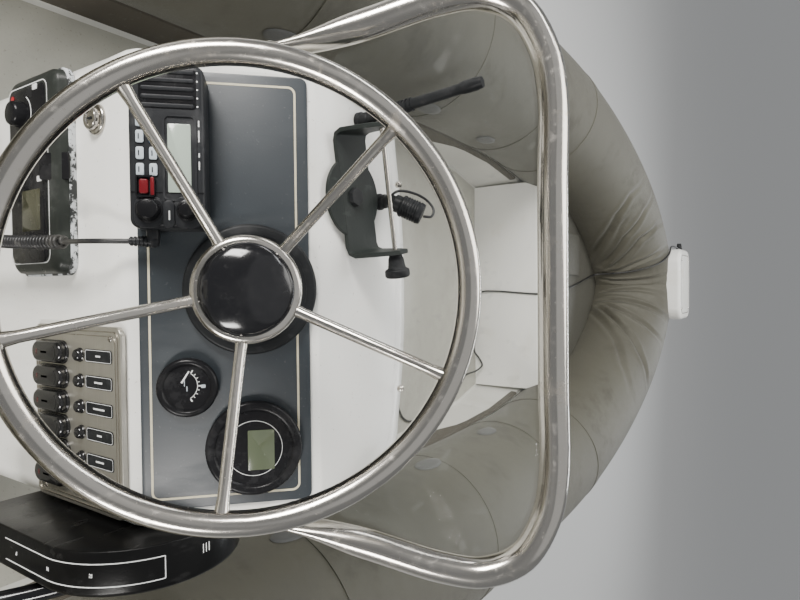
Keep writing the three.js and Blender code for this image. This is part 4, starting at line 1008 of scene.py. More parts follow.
def makeGauges():
    g = fuelGauge
    face = boardTop + g["height"] - 3
    shape = dialShape(g, 72)
    x, y = g["x"] - 2, g["y"] - 5
    start, end = radians(31), radians(146)
    shape.add(band(arc(15, start, end, 30), 0.6, 0.15), 1, along(dashFrame, x, y, face))
    for i in range(9):
        a = start + (end - start) * i / 8
        reach = 3.2 if i % 4 == 0 else 1.9
        middle = 15.6 + reach / 2
        mark = bar(reach, 1.2 if i % 4 == 0 else 0.7)
        flatMark(shape, mark, dashFrame, x + middle * cos(a), y + middle * sin(a), face, 1, 0.16, a)
    shape.add(plate(3.4, 4.4, 0.3, 0.8, 0.1, 3, 2), 2,
              along(dashFrame, g["x"] - 1, g["y"] + 15.5, face))
    for dx, length in ((-3, 7), (3, 5)):
        flatMark(shape, bar(length, 0.9), dashFrame, x + dx, y + 3.5 + dx * 0.4, face, 2, 0.1)
    flatMark(shape, [(-2, -0.9), (14, -0.7), (14, 0.7), (-2, 0.9)], dashFrame, g["x"] - 5, g["y"] - 5.5,
             face + 0.6, 1, 0.4, radians(148))
    shape.add(turned([(0, 0), (3.4, 0), (2.8, 0.9), (0, 1.1)], 20), 0,
              along(dashFrame, g["x"] - 4, g["y"] - 6.2, face))
    piece("fuelGaugeDial", shape, ["display", "print", "key"], ["fuel_gauge"])

    g = speedGauge
    face = boardTop + g["height"] - 3
    shape = dialShape(g, 84)
    shape.add(band(circle(28.5, 90), 0.5, 0.15, True), 1, along(dashFrame, g["x"], g["y"], face))
    shape.add(plate(41.5, 27, 0.5, 1.2, 0.2, 4, 2), 2,
              along(dashFrame, g["x"] + 2, g["y"] + 7, face))
    for i in (-1, 1):
        flatMark(shape, bar(5.5, 1.8), dashFrame, g["x"] + i * 6, g["y"] - 21, face, 1)
    piece("speedGaugeDial", shape, ["display", "print", "darkScreen"], ["speed_gauge"])

    g = helmBezel
    shape = dialShape(g, 84)
    for r in (50, 57):
        shape.add(band(circle(r, 72), 1.4, 0.7, True), 0, along(dashFrame, g["x"], g["y"],
                                                                boardTop + g["height"]))
    piece("helmBezelRing", shape, ["plastic"], ["helm_bezel"])


makeGauges()


# Marine radio on the dash: places are the dash's own x and y
radio = {
    "x": -136, "y": 25.5, "width": 156, "height": 69, "depth": 38,
    "ribs": [-206, -198, -190, -182, -174], "ribMiddle": 26.7, "ribLength": 48, "button": -97,
    "frame": (-125, 37, 80, 29), "screen": (-124.5, 36.6, 65, 21),
    "keys": [(-159, 1.4, 3), (-143.8, 1.4, 3), (-128.2, 1.4, 3), (-112.8, 1.4, 3), (-143.8, 13.2, 4),
             (-128.2, 13.2, 3), (-112.8, 13.2, 3)],
    "knobs": [(-75, 8.6, 10.4, 11), (-75, 43.5, 8.4, 9)],
    "plug": {"x": 89, "y": -17.5, "z": 16.4, "radius": 6.5, "end": -39.5},
}


def gripKnob(radius, height, steps=60):
    profile = [(0, 0), (radius + 2, 0), (radius + 2, 0.8), (radius + 0.6, 1.4), (radius - 0.6, height - 1.8),
               (radius - 1.4, height - 0.6), (radius - 2.6, height), (0, height)]
    rings = []
    for i, a in enumerate(angles(steps)):
        grip = 0.4 if i % 2 else 0
        ring = []
        for r, z in profile:
            r = r - grip if radius - 1 < r <= radius + 0.6 else r
            ring.append((r * mm * cos(a), r * mm * sin(a), z * mm))
        rings.append(ring)
    return skin(rings, closed=False, loop=True)


def makeRadio():
    r = radio
    base = boardTop
    top = base + r["depth"]
    case = along(dashFrame, r["x"], r["y"], base)
    shape = Shape().add(plate(r["width"], r["height"], r["depth"], 9, 5, 7, 5), 0, case)

    def onFace(made, x, y, finish, lift=0.0):
        shape.add(made, finish, along(dashFrame, x, y, top + lift))

    x, y, width, height = r["frame"]
    onFace(rimBand(width, height, 5, 6, 2.4, 1.4), x, y, 0)
    x, y, width, height = r["screen"]
    onFace(plate(width, height, 0.4, 1.2, 0.1, 4, 2), x, y, 1)
    for x in r["ribs"]:
        onFace(plate(4, r["ribLength"], 1.8, 1.9, 0.9, 4, 3), x, r["ribMiddle"], 0, -0.2)
        onFace(plate(1.5, 1.5, 0.4, 0.6), x, r["ribMiddle"] + 27, 2)
    onFace(plate(38, 52, 0.5, 3, 0.2, 4, 2), -190, r["ribMiddle"], 6, -0.2)
    for x, y, finish in r["keys"]:
        onFace(plate(12.8, 8.2, 1.2, 2, 0.5, 4, 2), x, y, 6, -0.2)
        onFace(plate(11.8, 7.2, 1.9, 1.8, 0.8, 4, 3), x, y, finish)
        onFace(slab(bar(5.2, 1.0), 0.1), x, y - 0.8, 6, 1.9)
    onFace(plate(14, 8.4, 2.6, 2, 1, 4, 3), r["button"], 4.5, 5)
    onFace(rimBand(19, 16, 2, 5, 1.6, 3.6), r["button"], 6, 6)
    onFace(plate(17, 3.4, 4.2, 1, 0.5, 3, 2), r["button"], 12.4, 5)
    for x, y, radius, height in r["knobs"]:
        onFace(plate(30, 26, 1.2, 9, 0.7, 6, 2), x + 2, y, 0, -0.3)
        onFace(gripKnob(radius, height), x, y, 6, 0.8)
    onFace(plate(27, 11, 2.4, 5.4, 1.2, 6, 3), -71, 26.4, 0)
    onFace(plate(9, 1.3, 0.2, 0.4), -70, 27, 2, 2.4)
    onFace(plate(1.2, 66, 0.5, 0.4), -91.6, 25.5, 6, -0.2)
    for x, length in ((-158, 6), (-146, 11), (-128, 4), (-118, 8)):
        onFace(plate(length, 1.1, 0.1, 0.3), x, 54.6, 2)
    p = r["plug"]
    stub = [Vector((r["width"] / 2 - 2, p["y"], p["z"])) * mm, Vector((p["x"] - 3, p["y"], p["z"])) * mm]
    shape.add(tube(stub + [Vector((p["x"], p["y"] - 1.5, p["z"])) * mm], p["radius"] * mm, 20), 0, case)
    length = p["y"] - p["end"]
    profile = [(0, -6.5), (4.6, -5.2), (6.5, -2), (6.5, 1)]
    for i in range(6):
        z = 1.5 + i * 3.5
        wide = p["radius"] - 0.5 - i * 0.28
        profile += [(wide, z), (wide, z + 1.9), (wide - 1.1, z + 2.2), (wide - 1.1, z + 3.2)]
    profile = [(q, min(z, length)) for q, z in profile] + [(0, length)]
    elbow = case @ offset(p["x"], p["y"], p["z"])
    elbow = elbow @ quarter("X")
    shape.add(turned(profile, 24), 0, elbow)
    piece("marineRadio", shape,
          ["radio", "paleScreen", "print", "key", "blueKey", "guard", "display"], ["vhf_radio"])


makeRadio()


# Pieces on the upright aft face
stereo = {"x": -128, "z": 593, "width": 224, "height": 114, "depth": 20, "flange": 7}
keySwitch = {"x": -176, "y": 692}
switchPlate = {
    "x": 136, "y": 648, "width": 196, "height": 174, "thick": 5, "boots": 6, "pitch": 27.2, "first": -68,
    "bootRow": -45, "breakers": 5, "breakerRow": 11, "labelRow": 46.5, "screws": (86, 68),
}


def makeStereo():
    s = stereo
    top = wallGap + s["depth"]
    at = along(wallFrame, s["x"], s["z"], wallGap)
    shape = Shape()
    flange = plate(s["width"], s["height"], s["flange"], 16, 1.4, 8, 3)
    shape.add(flange, 2, at)
    rings = []
    for z, inset, lift in ((6.5, 1.5, 0), (7.4, 2.4, 0), (14, 3.4, 0.4), (17, 6.5, 0.8), (19, 11, 1.2),
                           (20, 16, 1.6)):
        ring = roundedRing(s["width"] - 2 * inset, s["height"] - 2 * inset, 16 - inset * 0.4, 8)
        rings.append([(x * mm, (y - lift) * mm, z * mm) for x, y in ring])
    shape.add(skin(rings), 0, at)

    def onFace(made, x, z, finish, lift=0.0):
        shape.add(made, finish, along(wallFrame, x, z, top + lift))

    onFace(plate(190, 80, 0.9, 8, 0.5, 6, 2), -128, 587, 4, -0.2)
    onFace(rimBand(196, 86, 10, 6, 1.1, 0.3), -128, 588, 3, -0.1)
    onFace(plate(72, 60, 1.3, 5, 0.6, 5, 2), -66, 592, 4)
    onFace(plate(45, 40, 1.5, 2, 0.4, 4, 2), -88, 594, 1, 0.2)
    knob = [(0, 0), (19, 0), (19, 1.2), (14.4, 1.8), (13.4, 11), (12, 13.4), (9.6, 14.4), (0, 14.2)]
    onFace(turned(knob, 60), -195, 577, 4)
    onFace(band(arc(21, -0.5, 2.6, 30), 1.2, 0.3), -195, 577, 3, 0.8)
    onFace(turned([(0, 0), (3.2, 0), (3.2, 0.5), (0, 0.5)], 20), -216, 556, 5, 0.7)
    for x, z in ((-221, 607), (-121, 613)):
        onFace(plate(6, 10, 0.6, 1, 0.2, 3, 2), x, z, 3, 0.7)
    tab = plate(29, 34, 2.4, 3, 1, 5, 2)
    shape.add(tab, 4, at @ offset(-4, 44, 16) @ Matrix.Rotation(-0.5, 4, "X"))
    piece("stereoUnit", shape,
          ["stereo", "stereoScreen", "scuffed", "print", "display", "red"], ["stereo_unit"])


def makeKeySwitch():
    k = keySwitch
    at = along(wallFrame, k["x"], k["y"], wallGap)
    profile = [(0, 0), (16, 0), (16, 2), (15, 3.4), (12.6, 4), (11.6, 4.2), (11.6, 7.6), (10.6, 9), (7.2, 9),
               (6.6, 7.6), (0, 7.6)]
    shape = Shape().add(turned(profile, 48), 0, at)
    for a in angles(12):
        flatMark(shape, bar(0.9, 2.6), wallFrame, k["x"] + 11.4 * cos(a), k["y"] + 11.4 * sin(a), 5, 0, 3, a)
    shape.add(plate(2.4, 8, 0.9, 0.8, 0.2, 3, 2), 1, along(wallFrame, k["x"], k["y"], 7.9))
    piece("ignitionSwitch", shape, ["steel", "plastic"], ["key_switch"])


def makeSwitchPlate():
    s = switchPlate
    x0, y0 = s["x"], s["y"]
    at = along(wallFrame, x0, y0, wallGap)
    top = wallGap + s["thick"]
    shape = Shape().add(plate(s["width"], s["height"], s["thick"], 10, 1.6, 8, 3), 0, at)
    for inset, width in ((5, 1.4), (9.5, 0.9)):
        shape.add(rimBand(s["width"] - 2 * inset, s["height"] - 2 * inset, 8, 8, width, 0.9), 1,
                  along(wallFrame, x0, y0, top - 0.2))
    boot = plate(23.6, 62, 9, 11.7, 4.6, 9, 5, crown=1.2)
    foot = plate(26, 66, 2.6, 12.8, 1.1, 9, 3)
    for i in range(s["boots"]):
        bx, by = x0 + s["first"] + i * s["pitch"], y0 + s["bootRow"]
        shape.add(foot, 2, along(wallFrame, bx, by, top - 0.3))
        shape.add(boot, 2, along(wallFrame, bx, by - 0.8, top + 1))
        shape.add(band(arc(8.2, 0.5, 2.6, 14), 0.9, 0.6), 2,
                  along(wallFrame, bx, by + 14, top + 9.8))
        shape.add(plate(6, 4.4, 0.5, 1.6, 0.2, 4, 2), 5,
                  along(wallFrame, bx, by - 17, top + 10))
    cap = [(0, 0), (7.6, 0), (7.6, 1.6), (6.8, 2.4), (6.6, 4), (5.6, 6), (3.6, 7.2), (0, 7.8)]
    for i in range(s["breakers"]):
        bx = x0 + s["first"] + 1 + i * s["pitch"] * 1.014
        shape.add(turned(cap, 30), 2,
                  along(wallFrame, bx, y0 + s["breakerRow"], top - 0.3))
        label = along(wallFrame, bx, y0 + s["labelRow"], top - 0.1)
        shape.add(plate(14, 50, 0.9, 3, 0.3, 5, 2), 3, label)
        shape.add(rimBand(12, 48, 2.4, 5, 0.5, 0.12), 4, label @ offset(0, 0, 0.85))
        flatMark(shape, bar(1.8, 9 + 6 * (i % 3)), wallFrame, bx, y0 + s["labelRow"], top + 0.8, 4, 0.1)
    piece("switchPanel", shape, ["plate", "steel", "boot", "plastic", "print", "lens"],
          ["switch_panel"])
    corners = [(sx * s["screws"][0], sy * s["screws"][1]) for sx in (-1, 1) for sy in (-1, 1)]
    spots = [(along(wallFrame, x0 + a, y0 + b, top) @ Vector((0, 0, 0)), (0, -1, 0)) for a, b in corners]
    screws("switchPanelScrews", spots, 3.4 * mm)


makeStereo()
makeKeySwitch()
makeSwitchPlate()
print("console and instruments made")


# Rail round the windscreen
rail = {
    "radius": 16, "footY": -598, "footZ": 814, "topY": -430, "topZ": 1078, "steps": 150, "sides": 24,
    "points": [(250.9, 0), (255, 0.1), (278, 0.36), (303, 0.62), (308, 0.76), (292, 0.89), (252, 0.97),
               (205, 1), (100, 1)],
}


def railCurve():
    def point(x, up, side):
        return Vector((x * side, rail["footY"] + up * (rail["topY"] - rail["footY"]),
                       rail["footZ"] + up * (rail["topZ"] - rail["footZ"]))) * mm

    points = [point(x, up, 1) for x, up in rail["points"]]
    points += [point(x, up, -1) for x, up in rail["points"][::-1]]
    dense = [curvePoint(points, i / 900) for i in range(901)]
    walked = walkedAlong(dense)

    def at(share):
        i = int(np.clip(np.searchsorted(walked, share * walked[-1]), 1, 900))
        w = (share * walked[-1] - walked[i - 1]) / max(walked[i] - walked[i - 1], 1e-12)
        return dense[i - 1].lerp(dense[i], w), (dense[i] - dense[i - 1]).normalized()

    return at


railAt = railCurve()
railLean = Vector((0, rail["topY"] - rail["footY"], rail["topZ"] - rail["footZ"])).normalized()
railFace = Vector((0, -railLean.z, railLean.y))


def makeRail():
    rings = []
    for i in range(rail["steps"] + 1):
        t = i / rail["steps"]
        centre, ahead = railAt(t)
        side = ahead.cross(railFace).normalized()
        near = min(t, 1 - t) / 0.1
        flat = 0.28 + 0.72 * near * near * (3 - 2 * near) if near < 1 else 1
        wide = 1.25 - 0.25 * near if near < 1 else 1
        reach = rail["radius"] * mm
        rings.append([centre + side * cos(a) * reach * flat + railFace * sin(a) * reach * wide
                      for a in angles(rail["sides"])])
    shape = Shape().add(skin(rings))
    piece("windscreenRail", shape, ["steel"], ["console_rail"])
    bolts = Shape()
    dome = [(0, 0), (11, 0), (11, 1.2), (9.6, 1.8), (9.2, 3.4), (7.4, 6), (4, 7.6), (0, 8.2)]
    for side in (-1, 1):
        for share in (0.012, 0.045):
            centre, _ = railAt(share if side > 0 else 1 - share)
            outward = Matrix.Rotation(side * pi / 2, 4, "Y")
            place = Matrix.Translation((side * 0.2553, centre.y, centre.z)) @ outward
            bolts.add(turned(dome, 32), 0, place)
    piece("railBolts", bolts, ["steel"])


makeRail()

windscreen = {
    "thick": 4, "foot": 868.3, "gap": 4.2, "rows": 14,
    "stations": [(0.1, 222, -562), (0.16, 222, -528), (0.22, 220, -492), (0.28, 210, -458),
                 (0.33, 188, -438),
                 (0.38, 150, -428), (0.44, 80, -422), (0.5, 0, -420)],
}


def makeWindscreen():
    w = windscreen
    stations = w["stations"] + [(1 - s, -x, y) for s, x, y in w["stations"][:-1][::-1]]
    line = [Vector(s) for s in stations]
    fine = [curvePoint(line, i / 84) for i in range(85)]
    columns = []
    feet = [Vector((x, y, w["foot"])) * mm for _, x, y in fine]
    for i, (share, x, y) in enumerate(fine):
        centre, ahead = railAt(share)
        down = (feet[i] - centre).normalized()
        head = centre + down * (rail["radius"] + w["gap"]) * mm / down.cross(ahead).length
        before, after = feet[max(i - 1, 0)], feet[min(i + 1, len(feet) - 1)]
        face = (after - before).cross(down).normalized() * w["thick"] * mm / 2
        columns.append((feet[i] + Vector((0, 0, abs(face.z))), head, face))
    rings = []
    for foot, head, face in columns:
        up = [foot.lerp(head, k / w["rows"]) for k in range(w["rows"] + 1)]
        rings.append([p + face for p in up] + [p - face for p in up[::-1]])
    shape = Shape().add(skin(rings))
    piece("windscreenSheet", shape, ["acrylic"], ["windscreen"], angle=40)
    spots = []
    for i in (20, 32, 52, 64):
        foot, head, face = columns[i]
        for side in (-1, 1):
            spots.append((foot.lerp(head, 0.05) + face * side * 1.02, face.normalized() * side))
    screws("windscreenScrews", spots, 4 * mm)


makeWindscreen()


# Empty instrument bracket, capped connector, stub aerial
bracket = {
    "place": (-107, -508, 868.3), "turn": 10, "half": 69, "width": 54, "thick": 5, "level": 4, "arm": 64,
    "tip": 26, "rod": 52, "disc": (4, -6, 45),
}


def makeBracket():
    b = bracket
    at = offset(*b["place"]) @ Matrix.Rotation(radians(b["turn"]), 4, "Z")
    half, low, high = b["half"], b["level"], b["arm"]
    path = [(-half, high), (-half, 46), (-half, 30), (-half, low + 12), (-half + 3, low + 5),
            (-half + 10, low + 2.5)]
    path += [(x, low + 2.5) for x in (-40, -20, 0, 20, 40)]
    path += [(-x, z) for x, z in path[5::-1]]
    rings = []
    for i, (px, pz) in enumerate(path):
        before, after = path[max(i - 1, 0)], path[min(i + 1, len(path) - 1)]
        ahead = Vector((after[0] - before[0], after[1] - before[1])).normalized()
        nx, nz = -ahead.y * b["thick"] / 2, ahead.x * b["thick"] / 2
        taper = min(max((pz - 20) / (high - 20), 0), 1)
        wide = (b["width"] + (b["tip"] - b["width"]) * taper) / 2
        if pz == high:
            wide *= 0.62
        rings.append([(px - nx, -wide, pz - nz), (px - nx, wide, pz - nz), (px + nx, wide, pz + nz),
                      (px + nx, -wide, pz + nz)])
    shape = Shape().add(skin([[tuple(c * mm for c in p) for p in ring] for ring in rings]), 0, at)
    x, y, radius = b["disc"]
    disc = [(0, 0), (radius - 9, 0), (radius - 9, low), (radius, low), (radius, low + 4.6), (0, low + 4.6)]
    shape.add(turned(disc, 64), 0, at @ offset(x, y, 0))
    shape.add(slab(circle(11, 6), 6), 2, at @ offset(x, y, low + 4))
    for start, end, radius, sides in ((-half - 4, half + 7, 2.6, 18), (-half - 4, -half - 1.6, 6, 24),
                                      (half + 1, half + 3.4, 6, 24)):
        line = inMetres([(start, 0, b["rod"]), (end, 0, b["rod"])])
        shape.add(tube(line, radius * mm, sides), 1, at)
    grip = [(0, 0), (7.4, 0), (7.4, 2), (8.6, 4), (9.6, 12), (10.2, 15), (13.2, 16.4), (14, 18), (14, 23.6),
            (12.6, 25.4), (9, 26), (0, 26)]
    knobAt = at @ offset(half + 3, 0, b["rod"]) @ quarter("Y")
    shape.add(turned(grip, 40), 2, knobAt)
    piece("instrumentBracket", shape, ["bracket", "steel", "plastic"], ["gimbal_bracket"],
          bevel=0.0008, angle=30)


def makeConnector():
    shape = Shape()
    foot = [(0, 0), (10, 0), (10, 3), (8.6, 4), (8.6, 10), (7.6, 11), (7.6, 14), (0, 14)]
    shape.add(turned(foot, 32), 0, offset(-104, -454, 868.3))
    stem = route([(-104, -454, 880), (-104, -456, 886), (-102, -457, 892), (-98, -454, 899)], 5)
    shape.add(tube(stem, 7.4 * mm, 24), 0)
    start, end = Vector((-101, -457, 893)) * mm, Vector((-86, -441, 922)) * mm
    tilt = (end - start).to_track_quat("Z", "X").to_matrix().to_4x4()
    long = (end - start).length / mm
    cap = [(0, 0), (9.5, 0), (10.5, 1), (10.5, 8), (12.8, 9.4), (13.4, 11)]
    for i in range(6):
        cap += [(13.4, 12.5 + i * 3.2), (12.4, 13.3 + i * 3.2), (12.4, 14.5 + i * 3.2),
                (13.4, 15.2 + i * 3.2)]
    cap = [(q, min(h, long - 1.6)) for q, h in cap] + [(12, long), (0, long)]
    shape.add(turned(cap, 36), 0, Matrix.Translation(start) @ tilt)
    piece("cappedConnector", shape, ["plastic"], ["capped_connector"])
    loop = route([(-105, -461, 886), (-114, -456, 897), (-112, -440, 911), (-103, -427, 922),
                           (-92, -424, 928), (-84, -430, 928), (-84, -438, 922)], 8)
    piping("connectorTether", [loop], 1.6 * mm, "boat", "sheath", step=0.002)


def makeAerial():
    shape = Shape()
    foot = [(0, 0), (10.5, 0), (10.5, 5), (9.2, 6.4), (9.2, 14), (8, 16), (0, 16)]
    shape.add(turned(foot, 30), 0, offset(-193, -492, 868.3))
    path = route([(-193, -492, 880), (-195, -491, 892), (-198, -489.5, 906), (-201, -487.5, 926),
                           (-206, -484.5, 970), (-212, -481, 1022)], 8)
    radii = [8 * mm] * 8 + [8.2 * mm] * 6 + [7.4 * mm] * 6
    radii += list(np.linspace(6.6, 5.4, len(path) - len(radii)) * mm)
    for i in range(4):
        radii[-1 - i] = (6.9 if i else 5.6) * mm
    shape.add(tube(path, 0, 24, radii), 0)
    for i in range(5):
        p, q = path[22 + i], path[23 + i]
        shape.add(tube([p, p.lerp(q, 0.5)], 0, 24, [7.6 * mm, 7.6 * mm]), 0)
    piece("stubAerial", shape, ["plastic"], ["stub_aerial"])


makeBracket()
makeConnector()
makeAerial()


# Remote control on the console's starboard side
control = {
    "x0": 246.3, "x1": 292, "y": -662, "z": 690, "radius": 104, "low": 170, "soft": 6, "strip": (12, 34),
    "letters": [  # distance along the strip, strokes of F, N and R
        (182, [[(0, 0), (0, 1)], [(0, 1), (0.8, 1)], [(0, 0.55), (0.6, 0.55)]]),
        (118, [[(0, 0), (0, 1), (0.8, 0), (0.8, 1)]]),
        (66, [[(0, 0), (0, 1), (0.8, 0.9), (0.8, 0.55), (0, 0.5), (0.8, 0)]]),
    ],
}
sideFrame = Matrix(((0, 0, 1, 0), (1, 0, 0, 0), (0, 1, 0, 0), (0, 0, 0, 1)))


def makeControl():
    c = control
    outline = [(-c["radius"], -c["low"]), (c["radius"], -c["low"])]
    outline += arc(c["radius"], 0, pi, 40)
    at = offset(c["x0"], c["y"], c["z"]) @ sideFrame
    rings = []
    depth = c["x1"] - c["x0"]
    steps = [(0, 1.5), (0.8, 0.4), (2, 0), (depth - c["soft"], 0)]
    steps += [(depth - c["soft"] + c["soft"] * sin(a), c["soft"] * (1 - cos(a)))
              for a in (0.4, 0.8, 1.2, pi / 2)]
    for z, inset in steps:
        k = 1 - inset / c["radius"]
        low = 1 - inset / c["low"]
        rings.append([(x * k * mm, y * (k if y > 0 else low) * mm, z * mm) for x, y in outline])
    shape = Shape().add(skin(rings), 0, at)
    r = c["radius"] + 0.2
    edge = [(r * cos(a), r * sin(a)) for a in np.linspace(1.95, pi, 26)]
    edge += [(-r, -h) for h in range(12, 92, 10)]
    walked = walkedAlong([Vector(p) for p in edge])

    def onRim(u, depth):
        x, y = (np.interp(u, walked, [p[k] for p in edge]) for k in (0, 1))
        return Vector((x, y, depth)) * mm

    for depth in c["strip"]:
        shape.add(tube([onRim(u, depth) for u in walked], 0.55 * mm, 6), 1, at)
    shape.add(tube([onRim(0, d) for d in c["strip"]], 0.55 * mm, 6), 1, at)
    for u, strokes in c["letters"]:
        for line in strokes:
            stroke = [onRim(u + 3.2 * x, 21 + 3.6 * y) for x, y in line]
            shape.add(tube(stroke, 0.4 * mm, 6), 1, at)
    for i in range(3):
        a = 1.5 + i * 0.035
        line = [Vector((r * cos(a), r * sin(a), d)) * mm for d in (13, 22)]
        shape.add(tube(line, 0.45 * mm, 6), 1, at)
    piece("controlBox", shape, ["control", "print"], ["control_box"])
    shape = Shape()
    hub = [(0, 0), (42, 0), (42, 3), (41, 4.5), (38, 13), (35.5, 15.4), (32, 16), (0, 16)]
    shape.add(turned(hub, 60), 0,
              offset(292.3, -700, 668) @ sideFrame)
    arm = route([(306, -700, 668), (314, -726, 648), (319, -756, 624), (322, -790, 598)], 8)
    shape.add(tube(arm, 0, 20, list(np.linspace(11, 9, len(arm)) * mm)), 0)
    grip = route([(321, -784, 603), (324, -806, 586), (326, -838, 560)], 8)
    radii = [(9 + 7 * sin(min(t * 1.5, 1) * pi / 2)) * mm for t in np.linspace(0, 1, len(grip))]
    radii[-1], radii[-2] = 11 * mm, 14.5 * mm
    shape.add(tube(grip, 0, 24, radii), 0)
    piece("controlLever", shape, ["gloss"], ["control_lever"])


makeControl()
print("rail, screen and controls made")


# Collar: the solid's own centreline, finer, with tapes, patches and pleats
collar = {
    "points": [  # y, x, z, radius
        (-2100, 745, 340, 235), (-750, 745, 340, 235), (150, 745, 348, 235), (850, 726, 382, 234),
        (1250, 662, 428, 231), (1600, 532, 474, 227), (1900, 352, 511, 223), (2070, 172, 532, 221),
        (2160, 0, 542, 220),
    ],
    "bowShare": 0.5,
    "folds": [  # side, points (along from the bow's middle, round from the inner side), depth, width
        (1, [(280, -100), (420, 10), (540, 98), (680, 180), (790, 290)], 12, 19),
        (1, [(290, -46), (430, 109), (530, 220), (590, 330), (600, 400)], 13, 17),
        (1, [(270, -35), (330, 142), (345, 240), (330, 380)], 11, 15),
        (1, [(240, -46), (228, 120), (215, 230), (185, 420)], 12, 18),
        (1, [(170, -50), (120, 120), (90, 300)], 9, 15),
        (1, [(250, -80), (400, 70), (490, 150), (560, 210)], 6, 11),
        (-1, [(330, -70), (500, 31), (640, 140), (690, 230), (640, 360)], 12, 18),
        (-1, [(270, -35), (370, 50), (460, 120), (530, 260), (510, 400)], 13, 17),
        (-1, [(240, -2), (320, 90), (390, 176), (380, 290), (300, 420)], 12, 17),
        (-1, [(210, -40), (250, 120), (240, 260), (180, 400)], 9, 14),
        (-1, [(150, -50), (110, 140), (70, 320)], 9, 15),
        (-1, [(300, -40), (430, 60), (560, 130), (600, 200)], 6, 11),
    ],
}
collarLine = [Vector((x, y, z)) for y, x, z, _ in collar["points"]]
collarRadii = [Vector((r, y, 0)) for y, _, _, r in collar["points"]]


def collarAt(share):
    centre = curvePoint(collarLine, share)
    ahead = curvePoint(collarLine, min(share + 1e-4, 1)) - curvePoint(collarLine, max(share - 1e-4, 0))
    out = Vector((ahead.y, -ahead.x, 0)).normalized()
    return centre * mm, out, curvePoint(collarRadii, share).x * mm


foldSteps = 121
foldPoints = []
for side, points, deep, width in collar["folds"]:
    walk = np.linspace(0, len(points) - 1, foldSteps)
    foldPoints.append([[np.interp(t, range(len(points)),
                                  [q[k] for q in points]) for k in (0, 1)] for t in walk])
foldPoints = np.array(foldPoints)
foldSides = np.array([row[0] for row in collar["folds"]])
foldDeeps = np.array([row[2] for row in collar["folds"]])
foldWidths = np.array([row[3] for row in collar["folds"]])
foldFade = np.interp(np.linspace(0, 1, foldSteps), (0, 0.12, 0.5, 1), (0.35, 1, 0.8, 0))


def foldDepth(u, v, side):
    # u: mm along the tube from the bow's middle, v: mm round it from the inner side; gives metres inwards
    if u > 900 or not -160 < v < 560:
        return 0
    away = np.hypot(foldPoints[:, :, 0] - u, foldPoints[:, :, 1] - v)
    near = away.argmin(1)
    d = away.min(1) / foldWidths
    shape = np.exp(-d * d * 1.6) - 0.42 * np.exp(-((d - 1.35) ** 2) * 2.4)
    return float((foldDeeps * foldFade[near] * shape * (foldSides == side)).sum()) * mm


def collarRing(share, sides=72):
    centre, out, radius = collarAt(share)
    ring = []
    for a in angles(sides):
        angle = -a
        p = centre + out * cos(angle) * radius
        ripple = noise.noise(Vector((p.x * 2.1, p.y * 2.1, angle * 1.3))) * 1.2 * mm
        r = radius - 1.2 * mm + ripple
        ring.append(centre + out * cos(angle) * r + Vector((0, 0, sin(angle) * r)))
    return ring


collarLength = lengthOf([collarAt(i / 200)[0] for i in range(201)])
collarSteps = 400
collarReach = [0.0]  # distance from the bow's middle
for i in range(collarSteps, 0, -1):
    stretch = collarAt(i / collarSteps)[0] - collarAt((i - 1) / collarSteps)[0]
    collarReach.append(collarReach[-1] + stretch.length)
collarReach = np.array(collarReach[::-1])


def clothMap(made):
    # UV in metres: along the chamber and round it
    layer = made.data.uv_layers.new(name="cloth")
    near = np.array([p[:] for p, _ in collarSamples])
    corner = np.zeros((len(made.data.loops), 2))
    points = np.array([v.co[:] for v in made.data.vertices])
    flow = np.zeros((len(points), 2))
    for i, p in enumerate(points):
        side = np.array((abs(p[0]), p[1], p[2]))
        k = int(np.argmin(((near - side) ** 2).sum(1)))
        centre, out = collarSamples[k]
        away = Vector(side) - centre
        flow[i] = (k / len(collarSamples) * collarLength, atan2(away.z, away.dot(out)) * 0.23)
    order = np.zeros(len(made.data.loops), int)
    made.data.loops.foreach_get("vertex_index", order)
    corner[:] = flow[order]
    layer.data.foreach_set("uv", corner.ravel())


collarSamples = [collarAt(i / collarSteps)[:2] for i in range(collarSteps + 1)]


def clothPiece(name, shape, finish, angle, replaced=()):
    clothMap(piece(name, shape, [finish], replaced, angle=angle))


bothSides = ((1, "Starboard", "starboard"), (-1, "Port", "port"))


def sidePath(first, last, steps):
    return [first + (last - first) * i / steps for i in range(steps + 1)]


def halfMirror(shape):
    mirrored = [(-x, y, z) for x, y, z in shape.points]
    return Shape().add((mirrored, [f[::-1] for f in shape.faces]))


